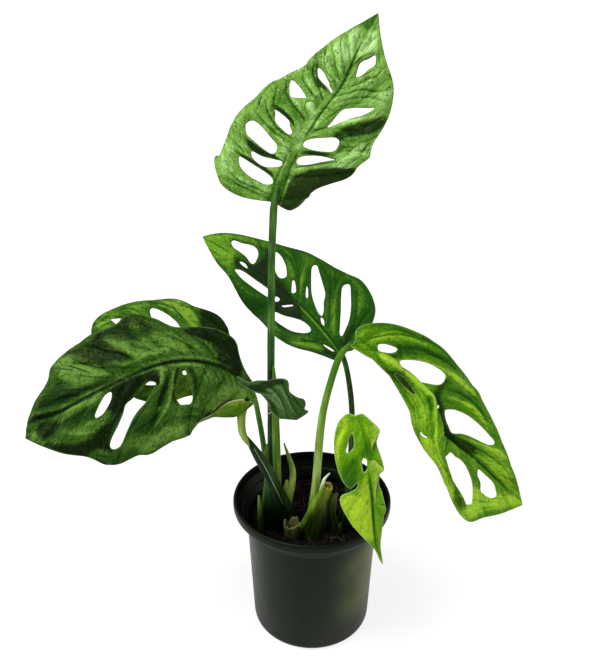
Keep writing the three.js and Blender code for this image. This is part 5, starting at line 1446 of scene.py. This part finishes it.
# ---- left leaf ----
# The largest leaf hangs at the left, deeply puffed between its sunk veins. Its inner base
# curls over, and one long lobe is torn nearly free and droops in front of the stems.
LEFT_LEAF = dict(
    midrib=[
        [-42, -24, 217], [-59, -26, 232], [-81, -28, 239], [-107, -32, 237], [-133, -38, 228],
        [-159, -46, 217], [-188, -56, 196],
    ],
    right=[
        [0, 10, -20, 10, 40], [40, 10, -20, 18, 35], [60, 14, -24, 26, 0], [110, 14, -22, 40, 0],
        [167, 6, -6, 40, 0],
    ],
    left=[
        [-14, -40, 0, 60, 0], [0, -40, 0, 60, 0], [10, -34, -3, 60, 0], [17, -30, -6, 60, 0],
        [38, -16, -16, 62, 0], [90, -10, -30, 60, 0], [130, -6, -20, 60, 0], [167, 0, -10, 60, 0],
    ],
    rim_right=[
        0, 2, 4, 5, 12, 8, 19, 15, 24, 22, 34, 25, 46, 25, 56, 26, 66, 35, 79, 45, 86, 41, 101, 42, 118, 35,
        130, 30, 136, 22, 151, 15, 161, 7.6, 167.6, 0,
    ],
    rim_left=[
        0, -2, -5.5, -3.4, -9, -7.5, -8.6, -11.4, -8, -15, -5.8, -21.7, -0.1, -26.8, 5.2, -32.1, 9, -38,
        17, -42.5, 25, -45.4, 33, -47.4, 46, -49, 60, -51, 80, -54, 92, -55, 98, -54, 104, -51.2, 118, -51.6,
        127, -49.4, 133, -46, 140, -37, 151, -26.6, 160, -13.4, 166, -3, 167.6, 0,
    ],
    holes=[
        [41.5, -24, 42.5, -27.5, 46, -28.6, 54, -28.8, 56, -27.5, 58, -24, 57, -17, 55, -11, 53, -8,
        50.5, -6, 49, -7, 47.5, -12, 44, -19], [71.5, -12.5, 75, -15.5, 83, -21.5, 89, -24, 96, -28,
        102, -33.5, 108, -39.5, 112, -41.7, 117, -41.3, 118, -38.5, 114, -34.5, 107, -29, 101, -23, 97, -18,
        91, -16, 83, -12.5, 77, -9.7, 73, -10.5], [102.5, -7, 104, -10.5, 108, -14.5, 113, -17.8, 118, -18.3,
        118.5, -16.5, 115, -13, 111, -9.5, 107, -6.5, 103.5, -5.8],
    ],
    veins_right=[
        [10, 22, 18], [26, 42, 25], [42, 64, 32], [58, 88, 41], [76, 112, 38], [94, 128, 31], [112, 140, 20],
        [130, 154, 12], [146, 162, 6],
    ],
    veins_left=[
        [4, 8, 41], [20, 30, 44], [34, 44, 46], [55, 94, 45], [78, 118, 50], [90, 134, 42], [112, 150, 26],
        [134, 160, 12],
    ],
    # Painted light and shade: the tones, patches and shades, and the colour of the folds.
    tones=[
        [55, -46, 100, -48, 4, 0.5], [60, -10, 64, -24, 3, -0.3], [40, 5, 60, 8, 4, 0.25],
        [50, 12, 70, 18, 6, 0.3], [160, -2.5, 161, -2.5, 0.9, 3], [-3, -8, -2, -7.6, 1, -3],
        [134, 8, 146, 8, 6, -0.35], [20, -38, 50, -40, 6, -0.15],
    ],
    patches=[
        (0.8, 4, -10, -8, -6, -3, 6, -3, 16, -9, 14, -18, 4, -22, -4, -18), (0.3, 2.5, 2, -10, 14, -9,
        24, -12, 34, -13, 40, -10, 38, -4, 26, -3, 12, -2, 2, -3), (0.5, 3, 0, -12, 8, -26, 20, -31, 26, -29,
        26, -16, 12, -10, 2, -6), (0.36, 3, 60, -44, 75, -48, 92, -53, 101, -50, 100, -44, 96, -40, 84, -44,
        70, -43), (-0.7, 3, 70, -34, 85, -40, 98, -39, 100, -34, 92, -30, 84, -30, 72, -32),
        (0.3, 2.5, 110, -23, 120, -27, 130, -25, 140, -20, 143, -15, 136, -16, 126, -18, 112, -19),
        (0.36, 2, 108, -8, 118, -9, 130, -7, 140, -5, 146, -1, 130, -4, 118, -4, 108, -4),
        (0.54, 2, 152, -24, 158, -15, 164, -5, 162, -5, 154, -15), (-0.7, 2.5, 120, -17, 134, -15, 142, -12,
        130, -9, 120, -10, 112, -13), (0.8, 3, 100, 6, 110, 5, 120, 8, 126, 13, 128, 22, 128, 30, 120, 31,
        112, 24, 106, 16), (0.45, 3, 1, -4, 12, -6, 17, -14, 12, -26, 3, -27, -2, -12), (0.4, 2, 150, -8,
        160, -6, 166, -2, 158, 2, 150, -2), (0.35, 4, 30, -38, 46, -39, 66, -43, 84, -47, 96, -44, 84, -52,
        60, -50, 38, -46), (0.3, 2, 112, 26, 122, 26, 130, 29, 120, 32), (-0.6, 3, 124, 0, 140, 4, 150, 8,
        146, 12, 134, 16, 130, 20, 127, 12), (-0.4, 3, 102, -50, 120, -52, 130, -47, 132, -42, 124, -43,
        116, -45, 104, -46), (0.21, 3, 50, 9, 62, 8, 76, 8, 78, 18, 62, 22, 50, 18),
    ],
    folds=[
        (13, 11, 10, 0.2, 24, 1, 44, 0.6, 60, 0.3, 74, -0.6, 95, -1.8), (12, 8, 92, -1.7, 108, -2,
        122, -2.6), (14, 12, 118, -2.6, 130, -2.6, 138, -1.2, 146, 1.6, 154, 5.6, 161, 7), (-9, 7, 57, -2,
        58.5, -10, 60, -17, 65, -27.5, 70, -32, 80, -37, 90, -41, 94.5, -45.5), (-10, 10, 68, -14, 66, -9,
        65, -5, 67, -2.8, 72, -2.4), (-8, 8, 38, -2.6, 48, -2.2, 55, -2.6, 62, -2), (-5, 8, 72, -3, 86, -3.6,
        100, -4), (6, 7, 5, -12, 12, -6, 19, -1), (5, 7, 14, -10, 20, -5, 25, -1.6), (5, 7, 22, -10, 27, -5,
        32, -2), (5, 7, 30, -12, 34, -7, 38, -3), (6, 8, 34, -30, 40, -31, 46, -31), (5, 8, 20, -34, 40, -36,
        60, -37), (5, 7, 56, -36, 66, -37, 78, -41, 88, -46), (7, 7, 72, -30, 84, -34, 98, -36),
        (5, 7, 60, -44, 76, -46, 90, -50), (7, 8, 76, -20, 88, -26, 98, -32, 106, -38), (6, 7, 120, -46,
        128, -42, 136, -38), (-6, 8, 124, -26, 134, -22, 142, -17), (6, 8, 118, -9, 130, -11, 146, -9),
        (-6, 7, 112, -7, 126, -6, 138, -4), (-6, 7, 60, 10, 64, 8, 70, 8, 80, 7, 92, 6), (-7, 6, 57, 10.5,
        60, 9, 63, 10.4, 64.5, 7.6, 69, 7), (7, 8, 30, 4, 38, 11, 48, 18), (6, 8, 38, 3, 46, 10, 56, 16,
        62, 20), (5, 7, 48, 3, 56, 8, 66, 14), (5, 7, 60, 3, 70, 10, 78, 16), (-8, 9, 76, 8, 82, 12, 84, 18,
        90, 24, 97, 33), (-8, 8, 85, 13, 90, 19, 96, 24, 101, 27), (8, 9, 82, 8, 88, 16, 96, 22, 104, 30),
        (6, 7, 76, 1, 88, 5, 98, 10, 108, 16), (5, 7, 94, 0.6, 104, 5, 112, 9, 120, 15), (8, 7, 110, 11,
        117, 18, 123, 25), (7, 7, 119, 17, 124, 22, 129, 27), (7, 8, 104, 12, 112, 20, 119, 28),
        (6, 8, 122, 2, 134, 6, 146, 12), (5, 7, 112, 1, 126, 7, 138, 14), (5, 7, 62, 22, 70, 28, 76, 38),
    ],
    shades=[
        (1.3, 0.6, -3.8, -6.9, -2, -6.9, -1.7, -8.4, -3.5, -8.7), (0.9, 2.4, 10, 1, 20, 2, 28, 3, 30, 9,
        34, 14, 42, 16, 51, 20, 46, 26, 36, 27, 28, 24, 22, 22, 16, 12), (0.8, 1.5, 40, -27, 41, -20,
        44, -12, 48, -6, 45, -4, 40.5, -10, 38.5, -20), (0.8, 1.5, 58, -28, 59, -22, 56, -12, 54, -5, 56, -4,
        59, -14, 61.5, -24), (0.8, 1.8, 62, -8, 63, -16, 66, -22, 70, -27, 75, -27, 71, -19, 66.5, -13,
        64, -5), (1, 1.8, 69, -14, 69, -4.5, 80, -3.5, 92, -3.2, 103, -4.5, 105, -9, 109, -14, 106, -19,
        98, -19, 90, -14, 84, -11, 76, -9), (0.95, 2.7, 96, -18, 106, -26, 112, -31, 118, -37, 119, -43,
        128, -37, 136, -36, 142, -37, 152, -27, 160, -15, 156, -13, 148, -21, 140, -26, 130, -28, 122, -27,
        110, -23, 104, -19), (0.8, 2.4, 142, -10, 152, -12, 158, -8, 160, -2, 154, 2, 148, -2, 143, -5),
        (0.8, 2.1, 127, -50, 134, -46, 138, -41, 144, -36, 139, -38, 132, -43), (0.7, 3, 84, 8.5, 92, 10,
        102, 13, 112, 20, 118, 28, 122, 33, 112, 34, 100, 37, 96, 34, 92, 26, 86, 16), (0.75, 3, 76, 20,
        84, 24, 92, 32, 100, 37, 88, 40, 79, 41, 78, 30), (0.7, 2.4, 94, -0.8, 112, 0, 126, 2, 136, 7,
        124, 6, 110, 4), (0.6, 3.8, 66, 24, 74, 24, 76, 34, 80, 44, 72, 40),
    ],
    up=(0, -0.6, 0.9), quilt=2, wave=(0.9, 60, 0.8), rough=0.6, rib=-0.6, seed=4, crinkle=0.8,
)
left_green = leaf_finish(
    "left_leaf_green", "#0a1c02", "#17360a", "#325814", "#6a9238", "#5c8038",
    Mottle=0.7, Streak=1.1, Folds=1.2, Crease=0.15, Crest=0.15,
)
curl_green = leaf_finish(
    "curled_base_green", "#1d3206", "#2f5a08", "#587f18", "#94a83c", "#dfe4b4",
    Streak=1.3, Folds=0.5, Rim=1.0,
)
parts = [
    blade_mesh("blade", LEFT_LEAF, left_green),
    flap("curled_base", curl_green, [
        [-41.7, -25.3, 205.7], [-43.7, -26, 203.1], [-47.2, -26.9, 200.3], [-51.3, -27.9, 197.5],
        [-59, -29.4, 197.7], [-66.9, -31.4, 198.5], [-69.9, -32.4, 197.9], [-75.3, -42.4, 200.5],
        [-79.1, -47.9, 199.1], [-83.9, -52.9, 198.8],
    ], [
        [-41.3, -25.6, 206.7], [-44.2, -26.4, 209], [-47.2, -27.4, 210], [-50.5, -28.4, 210.4],
        [-54.4, -29.4, 209.9], [-58.5, -30.3, 208.4], [-63.2, -31.6, 205.3], [-68.6, -33.2, 201.4],
        [-74.6, -42.5, 202], [-83.6, -52.9, 199.5],
    ], 1.6, (-0.5, 0.5)),
]
placed(gathered("leaf_left", parts), "leaf_dark_green", "blade_left")

# ---- torn lobe ----
# The lobe that tore off the left leaf hangs by its neck. Its surface is wrinkled and its end
# frayed.
TORN_LOBE = dict(
    midrib=[
        [-53, -24.6, 226], [-44, -25.4, 219.6], [-34, -27, 216.6], [-24, -29, 213], [-14, -31, 205],
        [-4, -32, 194],
    ],
    right=[[0, 0, -10, 40, 0], [55, 0, -20, 40, 0]],
    left=[[0, 0, -10, 40, 0], [55, 0, -20, 40, 0]],
    rim_right=[
        0, 1.6, 10, 1.6, 18, 2.4, 22, 2.6, 28, 6, 32, 9.4, 36, 10.4, 42, 11, 47, 8, 53, 3.4, 54, 1,
    ],
    rim_left=[
        0, -1.6, 10, -2.4, 16, -5.4, 23, -8, 29, -12, 32, -13.4, 34, -12, 37, -8, 43, -8.4, 47, -10.4,
        50, -9, 52, -6, 55, -7, 55, -3.4, 54, 1,
    ],
    holes=[],
    veins_right=[[6, 10, 12], [20, 24, 12]],
    veins_left=[[6, 10, 12], [20, 24, 12]],
    # Painted light and shade: the tones, patches and shades, and the colour of the folds.
    tones=[[28, 0, 44, 2, 4, 0.3]],
    patches=[(0.4, 2, -2, 2, 6, 2, 8, -2, 0, -2)],
    folds=[
        (9, 8, 4, 1, 14, 1, 22, 0.4, 30, -1), (-7, 7, 12, -3, 22, -3, 32, 0, 44, 4), (7, 7, 22, -5, 30, -3,
        40, 2, 48, 6), (-6, 6, 24, -8, 32, -6, 40, -2, 50, 2), (7, 6, 30, -11, 36, -6, 44, -2, 52, 0),
        (6, 6, 24, 3, 32, 6, 40, 9), (-6, 6, 26, 2, 36, 4, 44, 7), (6, 6, 36, -8, 44, -6, 52, -4),
    ],
    shades=[
        (1, 2, 12, 0, 18, -4, 24, -9, 30, -13, 32, -10, 26, -4, 20, 1), (0.6, 2, 24, 4, 30, 7, 34, 10,
        42, 11, 40, 8, 32, 4),
    ],
    up=(0.1, -1, 0.5), quilt=0.8, wave=(0.5, 20, 0), rough=0.6, rib=-0.3, seed=5, crinkle=0.3,
)
torn_green = leaf_finish(
    "torn_lobe_green", "#1a3010", "#26421a", "#3e602a", "#6a8a54", "#8a9f70",
    Mottle=0.8, Streak=0.8, Folds=0.8,
)
parts = [
    blade_mesh("lobe", TORN_LOBE, torn_green),
    # The strand is a pale line under the lobe that stands for a painted highlight on the lobe's rim.
    stalk("strand", [
        [-31.2, -31, 200.2, 0.25, 0.25], [-28.8, -31.5, 202, 0.4, 0.4], [-26.7, -32, 203.2, 0.45, 0.45],
        [-24.7, -32.4, 202.4, 0.4, 0.4], [-22.1, -32.6, 197.8, 0.2, 0.2],
    ], pale_line_and_highlight),
]
placed(gathered("leaf_left_torn_lobe", parts), "leaf_dark_green")

# ---- front leaf ----
# The smallest and youngest leaf hangs in front of the pot on a thin stalk. It is yellow-green,
# narrow and thin, and its lobes have split into loose flaps.
FRONT_LEAF = dict(
    midrib=[[30, -46, 210], [36, -54, 196], [39, -60, 177], [40, -63, 155], [43, -64, 131], [49, -64, 103]],
    right=[[0, 10, -10, 40, 0], [60, 6, -6, 40, 0], [113, 10, 0, 40, 0]],
    left=[[0, 20, 0, 40, 0], [113, 10, 0, 40, 0]],
    rim_right=[
        0, 2, -3, 7, 1, 15, 10, 21, 24, 23, 36, 22, 46, 19, 51, 14, 47, 9.5, 50.5, 10, 54, 15, 56, 20,
        62, 21, 77, 15, 90, 8, 99, 3.6, 104, 2.2, 109, 1.6, 114.4, 0,
    ],
    rim_left=[
        0, -2, 1, -4, 7, -7.4, 13, -10.3, 16.2, -8, 20, -5.8, 26, -6.6, 30.2, -7.7, 36, -8.6, 38, -7.8,
        39.4, -5.8, 43.6, -4.6, 47.7, -4.8, 52.7, -6.8, 60.4, -8.3, 65.5, -8.9, 70, -7.5, 76, -6.2, 84, -4.6,
        97, -1.4, 104, -0.6, 109, -0.4, 114.4, 0,
    ],
    holes=[
        [10, 8.3, 14, 8.4, 19, 9.4, 22, 11, 24, 14.5, 22.5, 15.3, 19, 14, 14, 12, 11, 10], [29.3, 4.5,
        31, 2.3, 35, 2.3, 38, 3.5, 39.3, 5.2, 36, 5.8, 32, 6],
    ],
    veins_right=[
        [2, 6, 18], [10, 26, 23], [24, 44, 20], [40, 56, 18], [50, 70, 18], [64, 84, 11], [80, 96, 6],
    ],
    veins_left=[[6, 20, 17], [22, 40, 20], [40, 60, 20], [60, 80, 11]],
    # Painted light and shade: the tones, patches and shades, and the colour of the folds.
    tones=[[30, 16, 50, 15, 5, -0.5], [60, 8, 86, 5, 5, 0.5], [10, -2, 16, -6, 4, 0.4]],
    patches=[
        (-0.6, 3, 24, -5, 30, -2, 29, 3, 26, 6, 20, 2, 18, -3), (-0.8, 4, 30, 9, 42, 9, 50, 12, 53, 16,
        46, 19, 36, 18), (0.5, 3, -2, 10, 6, 17, 14, 20, 26, 22, 22, 18, 10, 14, 2, 8), (0.6, 3, 40, 3,
        54, 2, 60, 2, 56, 8, 50, 9, 42, 6), (1, 3, 54, 15, 57, 10, 63, 4, 72, 3, 82, 3, 92, 4, 84, 10,
        72, 16, 62, 20, 56, 20),
    ],
    folds=[
        (10, 8, 34, 1.6, 44, 1.4, 52, 0.8, 60, 0, 75, 0.4, 90, 1.2, 106, 1.6), (5, 7, 2, 1, 14, 1.4, 26, 2),
        (-6, 7, 4, 9, 12, 18, 24, 21, 36, 20), (4, 8, 8, 4, 14, 7, 22, 8), (-5, 7, 9, 8, 18, 12, 24, 16),
        (-6, 6, 29, 6.6, 34, 6.6, 39, 6.2), (5, 7, 40, 5, 48, 8, 52, 13), (-7, 6, 53, 16, 56, 19.6, 62, 20.4,
        72, 17, 84, 11, 94, 6), (4, 7, 60, 3, 64, 10, 66, 17), (4, 7, 70, 3, 73, 8, 75, 13), (3.5, 7, 80, 2,
        82, 6, 84, 10), (-4, 7, 66, 3, 69, 9, 71, 15), (-4, 7, 76, 2, 78, 7, 80, 11), (4, 7, 26, 10, 34, 13,
        44, 13, 50, 15),
    ],
    shades=[(0.25, 3, 44, 12, 50, 13, 52, 16, 48, 18, 42, 16)],
    up=(-0.1, -1, 0.2), quilt=0.7, wave=(0.5, 36, 0.2), rough=0.3, rib=-0.4, seed=6, crinkle=0.3,
)
front_green = leaf_finish(
    "front_leaf_green", "#123803", "#3a740a", "#68a010", "#b4dc30", "#c0d888",
    Crease=0.05, Streak=0.6, Mottle=0.8, Folds=0.4, Crest=0.2, Under=0.3,
)
flap_green = leaf_finish(
    "loose_flap_green", "#2c5a08", "#46800c", "#7cac20", "#b4cc4c", "#c8d884",
    Streak=1.2, Folds=0.4, Rim=0.8,
)
parts = [
    blade_mesh("blade", FRONT_LEAF, front_green),
    flap("upper_flap", flap_green, [
        [36.1, -51.9, 204.5], [37.2, -54.2, 199], [38.6, -56.5, 192.9],
    ], [
        [39.8, -53.7, 207.1], [43.3, -57.4, 205.9], [41.9, -58.2, 201.7], [39.2, -58.3, 194.9],
        [38.8, -57.5, 190.5],
    ], 0.6, (-0.2, 0.5)),
    flap("long_flap", flap_green, [
        [35.8, -59, 182.9], [36.7, -60.5, 176.2], [38.3, -61.3, 171.6], [40.5, -62.8, 162.2],
        [42.1, -64, 152.5],
    ], [
        [40.6, -60.3, 184.5], [44.6, -64.2, 182], [46.5, -65.4, 180.4], [43.4, -64.6, 176.6],
        [42.3, -64.4, 168.8], [42.1, -64.3, 158.4], [42.2, -64.1, 152.6],
    ], 0.8, (-0.3, 0.7)),
    flap("lower_flap", front_green, [
        [42.3, -64, 152.5], [43.5, -64.5, 147.2], [45.4, -65.2, 144.9], [48, -66.1, 145.4],
    ], [
        [44.4, -65.3, 152.7], [46.9, -67.4, 153.1], [48.8, -68, 151.6], [48.7, -66.7, 146.9],
    ], 0.5, (-0.4, 0.2)),
]
placed(gathered("leaf_front", parts), "leaf_bright_green", "blade_front")

# ---- back leaf ----
# The leaf at the back left spreads below the others, mostly in their shade. Painted shade
# deepens it, and a pool of painted light brightens the part seen through the left leaf's hole.
BACK_LEAF = dict(
    midrib=[
        [-46, 12, 198], [-68, 14, 222], [-94, 18, 232], [-122, 24, 232], [-148, 28, 224], [-168, 32, 212],
    ],
    right=[[0, 6, -14, 40, 0], [80, 10, -20, 40, 0], [141, 4, 0, 40, 0]],
    left=[[0, 4, -14, 40, 0], [141, 4, 0, 40, 0]],
    rim_right=[
        0, 2, -1, 4, 8, 5, 20, 9, 33, 16.4, 38, 22, 46, 27, 61, 27.6, 68, 30, 76, 31.6, 88, 29.6, 112, 27.6,
        124, 26, 131, 22, 137, 10, 141, 0,
    ],
    rim_left=[
        0, -2, -4, -10, 4, -20, 20, -28, 37, -36, 55, -46, 74, -49, 94, -46, 112, -36, 126, -22, 136, -10,
        141, 0,
    ],
    holes=[
        [63.5, 6.5, 67, 6.8, 75, 9, 81, 12, 86, 13.5, 87.5, 15.5, 89, 20, 88.5, 22.5, 86, 22.7, 81, 20.5,
        74, 16.5, 68, 12], [106, 16.6, 108, 13.8, 112, 13.5, 114, 16, 117, 19.8, 112, 19, 108, 18], [66, -31,
        72, -36, 82, -37, 90, -34, 92, -30, 86, -26, 76, -24, 68, -26], [48, -11, 47, -17, 48.6, -23,
        52, -23.6, 54, -19, 53, -13, 50.6, -10.4],
    ],
    veins_right=[
        [6, 24, 12], [22, 44, 26], [40, 66, 29], [60, 90, 29], [80, 112, 27], [100, 126, 24], [118, 134, 15],
    ],
    veins_left=[[4, 20, 28], [22, 44, 40], [42, 72, 48], [64, 96, 45], [86, 116, 33], [106, 128, 20]],
    # Painted light and shade: the tones, patches and shades, and the colour of the folds; the strongest
    # patch is painted light.
    tones=[[35, 8, 50, 20, 6, -0.3]],
    patches=[
        (1.8, 3, 38, -20, 54, -20, 56, -38, 46, -42, 38, -36), (0.6, 3, 60, -34, 80, -36, 80, -46, 62, -44),
        (0.75, 2.5, 54, 12, 60, 12, 66, 18, 76, 24, 84, 27, 76, 30, 66, 29, 58, 22), (0.45, 2, 88, 10,
        100, 16, 106, 24, 96, 27, 90, 24), (0.38, 2.5, 114, 12, 124, 13, 131, 16, 130, 24, 118, 26, 110, 23),
        (0.38, 1.5, 70, 28.5, 90, 28, 110, 27, 126, 25, 120, 28, 92, 31, 76, 32),
    ],
    folds=[
        (9, 8, 56, 10, 64, 15.6, 72, 21.6, 82, 26.4, 94, 27.6), (-8, 8, 58, 12, 66, 18, 76, 23, 86, 26),
        (-6, 7, 50, 14, 60, 20, 70, 25, 80, 28), (7, 7, 86, 10, 92, 16, 98, 22, 106, 26), (6, 6, 92, 9,
        98, 15, 104, 20, 112, 25), (-6, 7, 90, 12, 96, 18, 102, 23), (6, 6, 86, 16, 90, 21, 94, 26),
        (7, 7, 108, 20, 116, 18, 126, 16), (-6, 6, 110, 22, 120, 19, 130, 18), (6, 6, 112, 25, 122, 22,
        131, 21), (6, 7, 30, 10, 38, 16, 46, 22, 52, 26), (8, 8, 0, 0, 60, 0, 120, 0), (6, 7, 20, -4,
        40, -20, 60, -34), (6, 7, 50, -4, 72, -20, 88, -36), (6, 7, 84, -3, 100, -14, 114, -26),
    ],
    shades=[
        (1, 3, 28, 6, 38, 12, 50, 13, 54, 18, 56, 27, 44, 28, 34, 22, 28, 14), (0.6, 3, -2, 2, 20, 4, 30, 10,
        26, 14, 8, 8), (0.8, 3, 88, 6, 110, 8, 130, 8, 138, 4, 120, 0, 90, 0), (0.5, 2, 126, 14, 132, 14,
        132, 22, 128, 22),
    ],
    up=(0, -0.75, 0.8), quilt=1, wave=(0.8, 50, 0.9), rough=0.4, rib=-0.3, seed=7, crinkle=0.3,
)
back_green = leaf_finish(
    "back_leaf_green", "#142c08", "#28520e", "#3f721a", "#7ba62e", "#5a4a2a",
    Crease=0.3, Streak=1.4, Mottle=0.9, Folds=1.2, Lean=-0.2, Rim=0.7,
)
blade("leaf_back", BACK_LEAF, back_green, "leaf_bright_green", "blade_back")

# ---- floor, light ----
# The plant stands on a plain white floor, under one large soft lamp at the upper left, with
# two tall dim ones at the sides for the soft gleam on the pot. The floor also glows, more so
# away from the plant, which keeps it white and its shadow faint.
floor_paint, tree, shader = new_material("floor_white")
feed(tree, shader, {"Base Color": (0.25, 0.25, 0.25, 1), "Roughness": 0.9, "Emission Color": (1, 1, 1, 1)})
place = at(tree)
distance = vector_sum(tree, "LENGTH", place)
glow = calc(tree, "ADD", calc(tree, "MULTIPLY", rise(tree, distance, 0.25, 1.2), 0.2), 0.82)
feed(tree, shader, {"Emission Strength": glow})
corners = [(-30000, -30000, 0), (30000, -30000, 0), (30000, 30000, 0), (-30000, 30000, 0)]
floor = shell("floor", corners, [(0, 1, 2, 3)], floor_paint)

world = bpy.data.worlds.new("studio")
bpy.context.scene.world = world
world.use_nodes = True
tree = world.node_tree
sky = tree.nodes["Background"]
seen = add(tree, "ShaderNodeLightPath").outputs["Is Camera Ray"]
strength = calc(tree, "ADD", calc(tree, "MULTIPLY", seen, 0.75), 0.3)
feed(tree, sky, {"Strength": strength, "Color": (1, 1, 1, 1)})


def lamp(name, place, target, size, watts):
    """A soft lamp turned to a point."""
    made = bpy.data.lights.new(name, "AREA")
    made.shape = "RECTANGLE"
    made.size, made.size_y = size
    made.energy = watts
    stand = standing(name, made)
    stand.location = place
    stand.rotation_euler = (Vector(target) - Vector(place)).to_track_quat("-Z", "Y").to_euler()


lamp("key_lamp", (-0.75, -0.35, 1.7), (0, 0, 0.25), (0.8, 0.8), 32)
lamp("left_lamp", (-1.1, 0.1, 0.35), (0, 0, 0.15), (0.25, 1.0), 3)
lamp("right_lamp", (1.1, 0.0, 0.35), (0, 0, 0.15), (0.3, 1.0), 5)
bpy.context.scene.view_settings.view_transform = "Standard"
